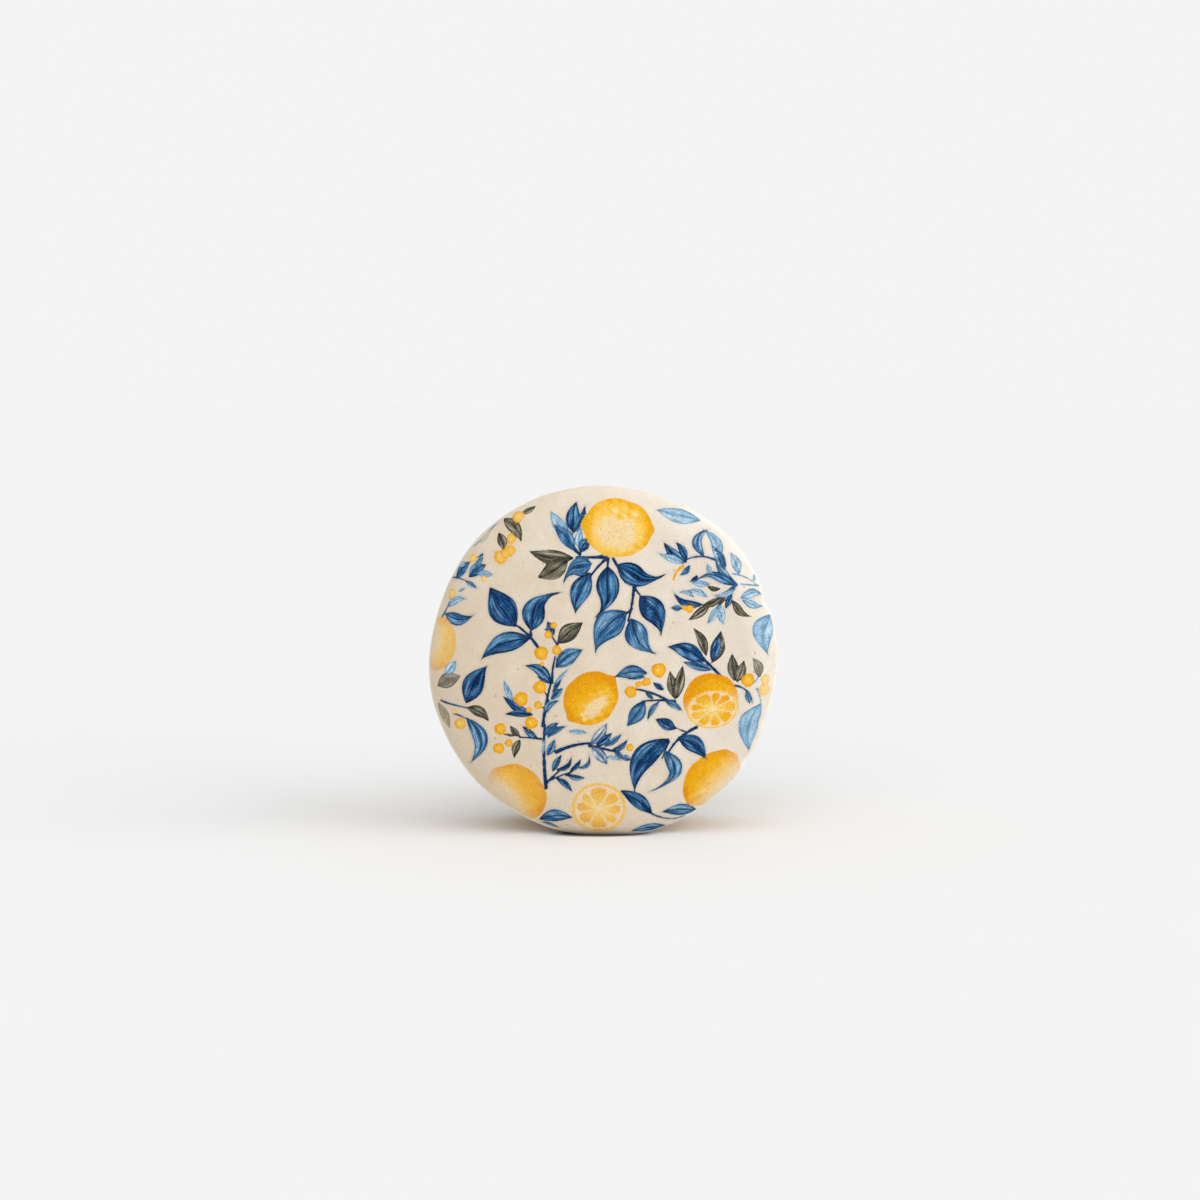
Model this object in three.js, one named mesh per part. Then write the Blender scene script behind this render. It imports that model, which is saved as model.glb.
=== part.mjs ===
// A french macaron standing on its edge: two almond shells, each with a low smooth dome and a
// ruffled foot, with a disc of filling between them.
// Millimetres, +Z up. The round face looks along -Y and the axis of the discs lies along Y.
// The origin is on the surface it stands on, under the middle of the macaron.

import * as THREE from "three";

// Driving dimensions
const macaronDiameter = 45;      // across the front shell at its widest
const shellHeight = 8.6;         // from the filling up to the crown of the dome
const footHeight = 2.8;          // the ruffled band below the dome's edge
const fillingThickness = 4.2;
const backShellInset = 0.3;      // the back shell's radius is this much smaller
const footInset = 0.8;           // the foot stands back this far under the dome's edge
const fillingInset = 1.7;        // and the filling this far
const restDepth = 0.3;           // the bottom edge is pressed flat by this much

// Form of the dome, and of the edge that rolls under it to the foot
const widestHeight = 4.0;        // height over the filling where the shell is widest
const domePower = 2.3;           // 2 is an ellipse, more is flatter on top with rounder shoulders
const domeSteps = 8;
const rollSteps = 3;
const footSteps = 5;
const edgeSoftness = 0.45;       // rounding where the foot meets the filling
const footBulge = 0.3;

// Relief
const ruffleDepth = 0.6;
const ruffleCounts = [13, 22, 31, 38];
const ruffleLean = 0.05;         // radians a ruffle leans over the foot's height
const shellSegments = 144;
const fillingSegments = 96;
const fillingSteps = 6;
const fillingBulge = 0.45;
const fillingWaveDepth = 0.16;
const fillingCounts = [5, 9, 14];

// The front shell isn't a perfect circle: each wave has a number of lobes, a height and the
// angle of one crest, counted from +X towards +Z.
const outlineWaves = [
  { lobes: 2, height: 0.2, crest: 90 },
  { lobes: 3, height: 0.05, crest: 37 },
  { lobes: 4, height: 0.11, crest: 29 },
  { lobes: 5, height: 0.07, crest: -23 },
  { lobes: 8, height: 0.06, crest: 3 },
];

// Small chips in the front shell's edge: where, how wide and how deep
const edgeChips = [
  { angle: 21, width: 2.6, depth: 0.28 },
  { angle: -20, width: 2.2, depth: 0.22 },
  { angle: -34, width: 2.4, depth: 0.26 },
  { angle: 66, width: 3.0, depth: 0.16 },
];
const restAngle = -90;
const restSpread = 18;           // waves die out this many degrees from where it rests

// A seeded draw of numbers from 0 to 1, the same each time
function seededDraw(seed) {
  let state = seed;
  return () => {
    state = (state * 16807) % 2147483647;
    return state / 2147483647;
  };
}

// Irregular waves round the circle, from -1 to 1: a few lobe counts, each turned by chance
function ringWaves(counts, seed) {
  const draw = seededDraw(seed);
  const waves = counts.map((lobes) => ({ lobes, turn: draw() * 2 * Math.PI, height: 0.6 + 0.4 * draw() }));
  const total = waves.reduce((sum, wave) => sum + wave.height, 0);
  return (angle) => waves.reduce((sum, w) => sum + w.height * Math.sin(w.lobes * angle + w.turn), 0) / total;
}

// 1 at a place on the edge, given in degrees, and falling to 0 over some width
function nearAngle(angle, degrees, width) {
  const away = THREE.MathUtils.euclideanModulo(THREE.MathUtils.radToDeg(angle) - degrees + 180, 360) - 180;
  return Math.exp(-((away / width) ** 2));
}

function outlineRelief(angle) {
  const waves = outlineWaves.map(({ lobes, height, crest }) =>
    height * Math.cos(lobes * (angle - THREE.MathUtils.degToRad(crest))));
  const chips = edgeChips.map((chip) => -chip.depth * nearAngle(angle, chip.angle, chip.width));
  const relief = [...waves, ...chips].reduce((sum, value) => sum + value, 0);
  return relief * (1 - nearAngle(angle, restAngle, restSpread));
}

// Half section of a shell, from the middle of its flat underside round to the crown
function shellProfile(radius) {
  const footRadius = radius - footInset;
  const points = [new THREE.Vector2(0, 0), new THREE.Vector2(footRadius - edgeSoftness, 0)];
  for (let step = 0; step <= footSteps; step++) {
    const part = step / footSteps;
    const height = THREE.MathUtils.lerp(edgeSoftness * 0.5, footHeight, part);
    points.push(new THREE.Vector2(footRadius + footBulge * Math.sin(Math.PI * part), height));
  }
  for (let step = 1; step <= rollSteps; step++) {
    const turn = (Math.PI / 2) * (step / rollSteps);
    const out = THREE.MathUtils.lerp(footRadius, radius, Math.sin(turn));
    points.push(new THREE.Vector2(out, widestHeight - (widestHeight - footHeight) * Math.cos(turn)));
  }
  for (let step = 1; step <= domeSteps; step++) {
    const turn = (Math.PI / 2) * (step / domeSteps);
    const out = radius * Math.cos(turn) ** (2 / domePower);
    const up = (shellHeight - widestHeight) * Math.sin(turn) ** (2 / domePower);
    points.push(new THREE.Vector2(step === domeSteps ? 0 : out, widestHeight + up));
  }
  return points;
}

// Moves every point out or in along its own radius. push(angle, radius, height) gives the distance.
function reliefAlongRadius(geometry, push) {
  const place = geometry.attributes.position;
  for (let i = 0; i < place.count; i++) {
    const radius = Math.hypot(place.getX(i), place.getZ(i));
    if (radius < 0.001) continue;
    const angle = Math.atan2(place.getZ(i), place.getX(i));
    const scale = 1 + push(angle, radius, place.getY(i)) / radius;
    place.setX(i, place.getX(i) * scale);
    place.setZ(i, place.getZ(i) * scale);
  }
}

// Lifts the disc so that its lowest edge is restDepth under the floor, then presses what is
// below the floor flat onto it, along each point's own radius.
function standOnEdge(geometry, radius) {
  const centre = radius - restDepth;
  const place = geometry.attributes.position;
  for (let i = 0; i < place.count; i++) {
    const drop = -place.getZ(i);
    if (drop > centre) place.setX(i, place.getX(i) * (centre / drop));
    place.setZ(i, drop > centre ? 0 : centre - drop);
  }
}

function shellGeometry(radius, isFront, seed) {
  const geometry = new THREE.LatheGeometry(shellProfile(radius), shellSegments);
  const ruffle = ringWaves(ruffleCounts, seed);
  reliefAlongRadius(geometry, (angle, r, height) => {
    const outline = isFront ? outlineRelief(angle) * (r / radius) ** 4 : 0;
    const onFoot = Math.max(0, Math.sin(Math.PI * THREE.MathUtils.clamp(height / footHeight, 0, 1)));
    const lean = (ruffleLean * height) / footHeight;
    return outline + ruffleDepth * onFoot * ruffle(angle + lean);
  });
  if (isFront) mirrorDepth(geometry);
  standOnEdge(geometry, radius);
  return geometry;
}

// Turns the crown to -Y. The triangles are wound the other way, so that they still face out.
function mirrorDepth(geometry) {
  geometry.scale(1, -1, 1);
  const corners = geometry.index.array;
  for (let i = 0; i < corners.length; i += 3) [corners[i], corners[i + 1]] = [corners[i + 1], corners[i]];
}

// The filling, squeezed out a little at mid height, with a soft wavy edge
function fillingGeometry() {
  const radius = macaronDiameter / 2 - fillingInset;
  const half = fillingThickness / 2;
  const points = [new THREE.Vector2(0, -half)];
  for (let step = 0; step <= fillingSteps; step++) {
    const turn = Math.PI * (step / fillingSteps - 0.5);
    points.push(new THREE.Vector2(radius + fillingBulge * (Math.cos(turn) - 1), half * Math.sin(turn)));
  }
  points.push(new THREE.Vector2(0, half));
  const geometry = new THREE.LatheGeometry(points, fillingSegments);
  const waves = ringWaves(fillingCounts, 71);
  reliefAlongRadius(geometry, (angle, r) => fillingWaveDepth * waves(angle) * (r / radius) ** 4);
  geometry.translate(0, 0, macaronDiameter / 2 - restDepth);
  return geometry;
}

const bakedCream = new THREE.MeshStandardMaterial({ color: 0xe6d8c2, roughness: 0.82, metalness: 0 });
const goldenFilling = new THREE.MeshStandardMaterial({ color: 0xdcb878, roughness: 0.6, metalness: 0 });

function piece(name, geometry, material, depth) {
  const mesh = new THREE.Mesh(geometry, material);
  mesh.name = name;
  mesh.position.y = depth;
  return mesh;
}

const macaron = new THREE.Group();
const frontRadius = macaronDiameter / 2;
const backRadius = frontRadius - backShellInset;
macaron.add(
  piece("front_shell", shellGeometry(frontRadius, true, 11), bakedCream, -fillingThickness / 2),
  piece("filling", fillingGeometry(), goldenFilling, 0),
  piece("back_shell", shellGeometry(backRadius, false, 29), bakedCream, fillingThickness / 2),
);

// The chips and waves make the outline a little lopsided, so the whole is centred over the origin
const extent = new THREE.Box3().setFromObject(macaron);
const middle = extent.getCenter(new THREE.Vector3());
macaron.position.set(-middle.x, -middle.y, 0);

export default macaron;
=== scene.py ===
import math

import bmesh
import bpy
import numpy as np
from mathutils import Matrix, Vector, noise


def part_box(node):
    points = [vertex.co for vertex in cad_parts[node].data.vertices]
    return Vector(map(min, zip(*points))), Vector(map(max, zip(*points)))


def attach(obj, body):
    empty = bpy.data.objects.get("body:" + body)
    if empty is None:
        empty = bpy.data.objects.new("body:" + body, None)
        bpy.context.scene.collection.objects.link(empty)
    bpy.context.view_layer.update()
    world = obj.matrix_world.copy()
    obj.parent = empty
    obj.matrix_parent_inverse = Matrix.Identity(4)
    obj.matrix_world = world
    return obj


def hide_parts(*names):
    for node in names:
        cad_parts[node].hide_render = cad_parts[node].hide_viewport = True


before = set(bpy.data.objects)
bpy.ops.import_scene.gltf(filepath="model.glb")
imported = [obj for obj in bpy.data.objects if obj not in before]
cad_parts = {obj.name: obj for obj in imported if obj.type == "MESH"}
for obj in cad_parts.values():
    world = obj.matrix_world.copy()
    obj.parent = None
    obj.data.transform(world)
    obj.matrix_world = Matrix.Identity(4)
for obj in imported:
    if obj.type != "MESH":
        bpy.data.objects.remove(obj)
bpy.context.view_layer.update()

# Lengths here are in mm, and mm turns them into Blender's metres.
mm = 0.001
print("frame loaded:", len(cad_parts), "nodes")

# lowest and highest corners of the solids
frontLow, frontHigh = (np.array(corner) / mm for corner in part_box("front_shell"))
fillingLow, fillingHigh = (np.array(corner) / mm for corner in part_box("filling"))
backLow = np.array(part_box("back_shell")[0]) / mm

# The form that the shells share, the same as in the solids
shellForm = {
    "frontRadius": 22.5,
    "backRadius": 22.2,
    "restDepth": 0.3,           # pressed flat where it stands
    "widestHeight": 4.0,        # over the filling
    "footHeight": 2.8,
    "footInset": 0.8,
    "domePower": 2.3,
    "sideShift": 0.05,          # the solids are centred by their box, not by their middle
}
shellHeight = frontHigh[1] - frontLow[1]


# Small helpers

def clearSelection():
    if bpy.context.object and bpy.context.object.mode != "OBJECT":
        bpy.ops.object.mode_set(mode="OBJECT")
    bpy.ops.object.select_all(action="DESELECT")


def namePiece(name):
    piece = bpy.context.object
    piece.name = name
    piece.data.name = name
    return piece


def readPoints(piece):
    flat = np.empty(len(piece.data.vertices) * 3)
    piece.data.vertices.foreach_get("co", flat)
    return flat.reshape(-1, 3) / mm


def writePoints(piece, points):
    piece.data.vertices.foreach_set("co", (points * mm).ravel())
    piece.data.update()


def storeValues(piece, name, kind, values):
    layer = piece.data.attributes.new(name, kind, "POINT")
    socket = {"FLOAT": "value", "FLOAT_VECTOR": "vector", "FLOAT_COLOR": "color"}[kind]
    layer.data.foreach_set(socket, np.ascontiguousarray(values, dtype=np.float32).ravel())


def pickOnly(piece):
    clearSelection()
    bpy.context.view_layer.objects.active = piece
    piece.select_set(True)


def smoothStep(x, low, high):
    t = np.clip((x - low) / (high - low), 0, 1)
    return t * t * (3 - 2 * t)


# Camera, at the height and distance that the macaron is seen from

cameraSetup = {
    "lens": 69.6,
    "distance": 295.7,          # in front of the shell's widest line
    "height": 57.0,
    "side": -0.4,
    "pitch": 5.17,              # degrees that it looks down
}

bpy.ops.object.camera_add()
camera = bpy.context.object
camera.name = "studioCamera"
camera.data.lens = cameraSetup["lens"]
camera.data.sensor_width = 36
widestDepth = frontHigh[1] - shellForm["widestHeight"]
cameraDepth = widestDepth - cameraSetup["distance"]
camera.location = Vector((cameraSetup["side"], cameraDepth, cameraSetup["height"])) * mm
camera.rotation_euler = (math.radians(90 - cameraSetup["pitch"]), 0, 0)
bpy.context.scene.camera = camera
print("camera placed")


# Form of a shell: the same waves, chips and flat spot as the solids

edgeForm = {
    # waves of the outline: lobes, height and the angle of one crest
    "waves": [(2, 0.2, 90), (3, 0.05, 37), (4, 0.11, 29), (5, 0.07, -23), (8, 0.06, 3)],
    # chips: angle, width and depth
    "chips": [(21, 2.6, 0.28), (-20, 2.2, 0.22), (-34, 2.4, 0.26), (66, 3.0, 0.16)],
    "stillPart": (-90, 18),     # round the flat spot the waves die out
    "ruffles": [13, 22, 31, 38],
    "domePoints": 900,          # along the profile, from the crown to the widest line
    "rollPoints": 199,          # and from there round to the foot
}


def nearAngle(angle, degrees, width):
    away = (np.degrees(angle) - degrees + 180) % 360 - 180
    return np.exp(-((away / width) ** 2))


def outlineRelief(angle):
    relief = sum(h * np.cos(n * (angle - math.radians(crest))) for n, h, crest in edgeForm["waves"])
    relief = relief - sum(depth * nearAngle(angle, at, width) for at, width, depth in edgeForm["chips"])
    return relief * (1 - nearAngle(angle, *edgeForm["stillPart"]))


def ringWaves(counts, seed):
    # the same draw as in the solids, so that the ruffles lie where theirs do
    state = seed
    drawn = []
    for _ in range(2 * len(counts)):
        state = state * 16807 % 2147483647
        drawn.append(state / 2147483647)
    turns = [2 * math.pi * d for d in drawn[0::2]]
    heights = [0.6 + 0.4 * d for d in drawn[1::2]]
    return lambda angle: sum(
        h * np.sin(n * angle + t) for n, h, t in zip(counts, heights, turns)
    ) / sum(heights)


def shellProfile(radius):
    # From the crown over the shoulder and round the edge to the top of the foot. Gives the length
    # along the curve, the radius, the height over the filling and the outward direction.
    widest, foot = shellForm["widestHeight"], shellForm["footHeight"]
    turn = np.linspace(math.pi / 2, 0, edgeForm["domePoints"])
    power = 2 / shellForm["domePower"]
    r = radius * np.cos(turn) ** power
    h = widest + (shellHeight - widest) * np.sin(turn) ** power
    roll = np.linspace(math.pi / 2, 0, edgeForm["rollPoints"] + 1)[1:]
    footRadius = radius - shellForm["footInset"]
    r = np.append(r, footRadius + (radius - footRadius) * np.sin(roll))
    h = np.append(h, widest - (widest - foot) * np.cos(roll))
    r[0] = 0
    length = np.append(0, np.cumsum(np.hypot(np.diff(r), np.diff(h))))
    along = np.gradient(r, length), np.gradient(h, length)
    return length, r, h, -along[1], along[0]


def standOnEdge(points, centre):
    # presses what is below the floor flat onto it
    drop = centre - points[:, 2]
    below = drop > centre
    points[below, 0] *= centre / drop[below]
    points[below, 2] = 0
    return points


def shellPoints(ringRadius, angle, height, radius, front):
    # a shell's points, from their radius, angle and height over the filling, as it stands on its edge
    side = -1 if front else 1
    centre = radius - shellForm["restDepth"]
    points = np.stack([ringRadius * np.cos(angle), side * height, centre + ringRadius * np.sin(angle)], 1)
    points = standOnEdge(points, centre)
    points[:, 0] += shellForm["sideShift"]
    points[:, 1] += frontHigh[1] if front else backLow[1]
    return points


def squareToDisc(a, b):
    # spreads a square grid over a disc so that its cells stay alike. Gives radius (0 to 1) and angle.
    wide = abs(a) > abs(b)
    safeA = np.where(wide, a, 1)
    safeB = np.where(wide | (b == 0), 1, b)
    radius = np.where(wide, a, b)
    angle = np.where(wide, math.pi / 4 * b / safeA, math.pi / 2 - math.pi / 4 * a / safeB)
    angle = np.where(radius < 0, angle + math.pi, angle)
    return abs(radius), angle


# The two domes

domeForm = {
    "cells": 308,               # along each side of the grid that becomes the dome
    "swell": (5.0, 0.10),       # size and height of slow unevenness
    "dimples": (1.3, 0.035),    # and of the finer one
    "pits": 70,                 # tiny burst bubbles
    "pitRadius": 0.22,
    "pitDepth": 0.06,
    "pitSpread": 0.97,          # of the radius, out from the middle
    "rimBand": (1.5, 0.4),      # the bare rim comes in between these distances before the widest line
    "underBand": (0.5, 0.1),    # and the golden underside from past that line to before the foot
    "mapReach": 0.495,          # radius of the round map
    "creaseAngle": 50,
}


def unevenSurface(points, size, height, shift):
    place = points / size + shift
    return height * np.array([noise.noise(Vector(p)) for p in place])


def makeDome(name, front, radius, seed):
    clearSelection()
    cells = domeForm["cells"]
    bpy.ops.mesh.primitive_grid_add(x_subdivisions=cells, y_subdivisions=cells, size=2)
    dome = namePiece(name)
    flat = readPoints(dome) * mm
    part, angle = squareToDisc(flat[:, 0], flat[:, 1])
    length, r, h, outR, outH = shellProfile(radius)
    along = part * length[-1]
    ringRadius = np.interp(along, length, r)
    height = np.interp(along, length, h)
    facing = np.stack([np.interp(along, length, outR), np.interp(along, length, outH)])

    # slow unevenness, dimples and pits stand along the surface's own outward direction
    flatPlace = np.stack([ringRadius * np.cos(angle), ringRadius * np.sin(angle), height], 1)
    relief = unevenSurface(flatPlace, *domeForm["swell"], seed)
    relief += unevenSurface(flatPlace, *domeForm["dimples"], seed + 40)
    rng = np.random.default_rng(seed)
    for _ in range(domeForm["pits"]):
        spot = rng.uniform(0.3, 1) ** 0.5 * radius * domeForm["pitSpread"]
        turn = rng.uniform(0, 2 * math.pi)
        away = np.hypot(flatPlace[:, 0] - spot * math.cos(turn), flatPlace[:, 1] - spot * math.sin(turn))
        pit = domeForm["pitRadius"] * rng.uniform(0.5, 1.3)
        relief -= domeForm["pitDepth"] * np.exp(-((away / pit) ** 2))
    ringRadius = ringRadius + relief * facing[0]
    height = height + relief * facing[1]
    if front:
        ringRadius = ringRadius + outlineRelief(angle) * (ringRadius / radius) ** 4
    writePoints(dome, shellPoints(ringRadius, angle, height, radius, front))

    closeDome(dome)
    printRadius = np.interp(along, length, printReach(length, r))
    widest = length[edgeForm["domePoints"]]
    rimStart, rimEnd = domeForm["rimBand"]
    underStart, underEnd = domeForm["underBand"]
    storeValues(dome, "rimPart", "FLOAT", smoothStep(along, widest - rimStart, widest - rimEnd))
    storeValues(dome, "underPart", "FLOAT", smoothStep(along, widest + underStart, length[-1] - underEnd))
    return dome, angle, printRadius, part


def printReach(length, r):
    # The print lies flat on the face as seen from the front. On the shoulder it follows the surface.
    shoulder = np.searchsorted(r[:edgeForm["domePoints"]], printForm["shoulder"])
    return np.where(np.arange(len(r)) < shoulder, r, r[shoulder] + length - length[shoulder])


def closeDome(dome):
    # a flat floor under the dome
    pickOnly(dome)
    bpy.ops.object.mode_set(mode="EDIT")
    bpy.ops.mesh.select_mode(type="EDGE")
    bpy.ops.mesh.select_all(action="DESELECT")
    bpy.ops.mesh.select_non_manifold()
    bpy.ops.mesh.edge_face_add()
    bpy.ops.mesh.select_all(action="SELECT")
    bpy.ops.mesh.normals_make_consistent(inside=False)
    bpy.ops.object.mode_set(mode="OBJECT")
    bpy.ops.object.shade_smooth_by_angle(angle=math.radians(domeForm["creaseAngle"]))


def mapDome(dome, part, angle):
    # one round map: the crown in the middle, equal lengths along the surface
    reach = domeForm["mapReach"]
    layer = dome.data.uv_layers.new(name="OFBake")
    corner = np.empty(len(dome.data.loops), dtype=np.int32)
    dome.data.loops.foreach_get("vertex_index", corner)
    uv = np.stack([0.5 + reach * part * np.cos(angle), 0.5 + reach * part * np.sin(angle)], 1)
    layer.data.foreach_set("uv", uv[corner].astype(np.float32).ravel())


# The print, as a common pattern of lemons and leaves. Every motif is drawn by a rule from its place,
# heading and size. Each one lays down, at every point of the dome, the colour of its ink and how far
# inside its edge the point is, and the material turns that into crisp edges.

inks = {    # dark, middle and light, as 0 to 255
    "navy": ((4, 26, 62), (16, 64, 114), (82, 136, 178)),
    "blue": ((16, 56, 104), (48, 100, 146), (124, 166, 194)),
    "pale": ((90, 138, 176), (138, 176, 204), (186, 208, 222)),
    "grey": ((34, 32, 29), (86, 82, 68), (142, 135, 114)),
    "gold": ((220, 144, 0), (232, 171, 18), (240, 202, 104)),
    "open": ((20, 56, 100), (112, 146, 178), (224, 214, 200)),
}
paperColour = (228, 214, 194)
printForm = {
    "reach": 0.6,               # a motif's colour runs on this far past its edge
    "stemThin": 0.6,            # how much a stem thins towards its end
    "stemStep": 0.6,
    "outlineWidth": 0.065,
    "shoulder": 20.4,           # radius past which the print follows the surface
    "outerRing": 21.7,          # radius of the ring that falls away to the edge
    "lookDown": 0.116,          # how far the camera looks down on the crown, as a slope
    "cream": (233, 209, 164),   # the bare patch of a lemon
    "pith": (238, 220, 176),
    "heart": (240, 206, 112),   # the middle of a slice
    "rind": (238, 194, 88),
}
inkReach = printForm["reach"]


def linearColour(colour):
    c = np.asarray(colour, float) / 255
    return np.where(c <= 0.04045, c / 12.92, ((c + 0.055) / 1.055) ** 2.4)


def newSheet(u, v):
    far = np.full(len(u), -inkReach)
    paper = np.tile(linearColour(paperColour), (len(u), 1))
    return {"u": u, "v": v, "cover": far.copy(), "line": far.copy(), "light": far.copy(),
            "ink": paper, "strength": np.ones(len(u)), "brush": np.zeros((len(u), 3))}


def ontoDome(u, v):
    # Motifs are placed as the front view shows them, from the middle of the outline. The crown is
    # nearer and seen from a little above, so it looks larger and lower than it is.
    # On the outermost ring, which falls away to the edge, the motifs stay where they are.
    length, r, h, _, _ = shellProfile(shellForm["frontRadius"])
    onDome = slice(edgeForm["domePoints"])
    reach = printReach(length, r)
    if math.hypot(u, v) < printForm["outerRing"]:
        rise = np.interp(math.hypot(u, v), r[onDome], h[onDome]) - shellForm["widestHeight"]
        near = rise / cameraSetup["distance"]
        u, v = u * (1 - near), v * (1 - near) + rise * printForm["lookDown"]
    radius = math.hypot(u, v)
    spread = np.interp(radius, r[onDome], reach[onDome]) / max(radius, 0.001)
    return u * spread, v * spread


def nearPlace(sheet, u, v, radius):
    return np.flatnonzero((abs(sheet["u"] - u) < radius) & (abs(sheet["v"] - v) < radius))


def nearMotif(sheet, u, v, heading, reach, ahead=0):
    # the points near a motif, or near a place ahead of it, and where they lie from it: to the right,
    # up, along its heading and across
    u, v = ontoDome(u, v)
    c, s = math.cos(math.radians(heading)), math.sin(math.radians(heading))
    ids = nearPlace(sheet, u + c * ahead, v + s * ahead, reach)
    x, y = sheet["u"][ids] - u, sheet["v"][ids] - v
    return ids, x, y, x * c + y * s, y * c - x * s


def mixInks(shade, ink):
    # shade 0 is the dark ink, 0.5 the middle one and 1 the light one
    dark, middle, light = (linearColour(c) for c in inks[ink])
    s = np.clip(shade, 0, 1)[:, None]
    return np.where(s < 0.5, dark + (middle - dark) * s * 2, middle + (light - middle) * (s - 0.5) * 2)


def layInk(sheet, ids, edge, colour, strength=1.0, line=None, light=None, brush=None):
    # edge, line and light are distances in mm, above 0 inside the motif, its dark and its light
    # lines. brush is the place along and across the brush marks, and how strong they are.
    old = sheet["cover"][ids]
    wins = (edge > 0) | (edge > old)
    at = ids[wins]
    sheet["ink"][at] = colour[wins]
    sheet["strength"][at] = np.broadcast_to(strength, edge.shape)[wins]
    sheet["brush"][at] = 0 if brush is None else brush[wins]
    for name, value in (("line", line), ("light", light)):
        value = np.full(edge.shape, -inkReach) if value is None else np.minimum(value, edge + 0.05)
        kept = np.maximum(sheet[name][at], value[wins])
        sheet[name][at] = np.where(edge[wins] > 0, value[wins], kept)
    sheet["cover"][ids] = np.maximum(old, edge)


def randomLine(rng, count=5, least=1.0, most=6.0):
    # a smooth random line from about -1 to 1
    pitch, phase = rng.uniform(least, most, count), rng.uniform(0, 6.28, count)
    return lambda x: sum(np.sin(p * x + f) for p, f in zip(pitch, phase)) / count ** 0.5 / 1.2


def paintLeaf(sheet, rng, u, v, heading, length, width, ink, bend=0.0, hook=0.0, strength=1.0):
    # A full body with a pointed base. bend arches it. hook turns the tip aside and draws it out.
    reach = length * 0.62 + width + (abs(bend) + abs(hook)) * length
    ids, _, _, along, across = nearMotif(sheet, u, v, heading, reach, length / 2)
    along = along / length
    t = np.clip(along, 0, 1)
    late = np.clip(t - 0.55, 0, 1) / 0.45
    spine = (bend * 4 * t * (1 - t) + hook * late ** 2) * length
    slope = bend * 4 * (1 - 2 * t) + hook * 2 * late / 0.45
    off = (across - spine) / np.sqrt(1 + slope ** 2)
    drawn = min(abs(hook) * 2.6, 1)
    swell = np.clip(t / (1.01 - 0.13 * drawn), 0, 1) ** (0.9 - 0.12 * drawn)
    body = np.sin(np.pi * swell).clip(0, 1) ** 1.1
    tail = (0.1 + 0.2 * drawn) * np.clip((1 - t) / 0.5, 0, 1) ** 0.5 * smoothStep(t, 0.1, 0.6)
    half = 0.47 * width * np.hypot(body, tail)
    edge = (half - abs(off)) * 0.93
    over = np.maximum(-along, along - 1)
    edge = np.where(over > 0, -np.hypot(over * length, off), edge)

    # base, tip and outline are dark, and each half holds a lighter panel, the lit one most
    q = off / np.maximum(half, 0.08)
    drift, broken = randomLine(rng, 3, 1, 5), randomLine(rng, 4, 2, 8)
    lit = 1 if rng.random() < 0.5 else -1
    panel = smoothStep(abs(q), 0.04, 0.3) * smoothStep(-abs(q), -0.96, -0.6)
    panel = panel * smoothStep(t, 0.06, 0.3) * (1 - smoothStep(t, 0.74, 0.95))
    glow = rng.uniform(0.3, 0.75) * (0.74 + 0.26 * np.tanh(lit * q * 6))
    shade = 0.32 + glow * panel + 0.16 * drift(t * 4 + q) - 0.1 * smoothStep(-lit * q, 0.4, 1.0)
    shade = shade - 0.25 * smoothStep(-t, -0.22, 0.0) - 0.2 * smoothStep(t, 0.8, 1.0)
    rim = printForm["outlineWidth"] * (1.1 + 0.9 * broken(t * 9 + q) - 0.4 * lit * np.sign(q)) - edge
    line = np.where(edge > 0, rim, -inkReach)
    marks = np.full(len(ids), 0.5 if ink == "pale" else 1.0)
    brush = np.column_stack([t * length + rng.uniform(0, 90), q * width * 0.42, marks])
    layInk(sheet, ids, edge, mixInks(shade, ink), strength, line, None, brush)


def paintStem(sheet, rng, u, v, heading, length, bend, width, ink="navy", strength=1.0):
    # an arc that leaves at heading and turns by bend degrees over its length
    u, v = ontoDome(u, v)
    steps = max(6, int(length / printForm["stemStep"]))
    turns = np.radians(heading + bend * (np.arange(steps) + 0.5) / steps)
    moves = np.stack([np.cos(turns), np.sin(turns)], 1) * length / steps
    path = np.array([u, v]) + np.vstack([[0, 0], np.cumsum(moves, 0)])
    ids = nearPlace(sheet, *path.mean(0), length * 0.6 + 1.2)
    place = np.stack([sheet["u"][ids], sheet["v"][ids]], 1)
    best, at = np.full(len(ids), 9.0), np.zeros(len(ids))
    for i, (start, move) in enumerate(zip(path, moves)):
        s = np.clip(((place - start) @ move) / (move @ move), 0, 1)
        away = np.hypot(*(place - start - s[:, None] * move).T)
        at = np.where(away < best, (i + s) / steps, at)
        best = np.minimum(best, away)
    wobble = randomLine(rng, 4, 6, 20)
    half = width / 2 * (1 - (1 - printForm["stemThin"]) * at) * (1 + 0.12 * wobble(at * length / 3))
    layInk(sheet, ids, half - best, mixInks(0.3 + 0.14 * wobble(at * 5 + 2), ink), strength)


def paintBerry(sheet, rng, u, v, radius, strength=1.0):
    ids, x, y, _, _ = nearMotif(sheet, u, v, 0, radius + 0.7)
    r, a = np.hypot(x, y), np.arctan2(y, x)
    lumps = 0.05 * np.sin(3 * a + rng.uniform(0, 6)) + 0.03 * np.sin(5 * a + rng.uniform(0, 6))
    edge = radius * (1 + lumps) - r
    shade = 0.62 - 0.45 * smoothStep(r / radius, 0.45, 1.0) + 0.15 * (x - 0.2 * y) / radius
    shade = shade + 0.25 * smoothStep(-np.hypot(x + 0.15 * radius, y) / radius, -0.45, -0.1)
    shade = shade + 0.9 * (1 - strength) + 0.12 * randomLine(rng, 4, 2, 7)(x * 3 + 2 * y)
    layInk(sheet, ids, edge, mixInks(shade, "gold"), 0.5 + 0.5 * strength)


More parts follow.
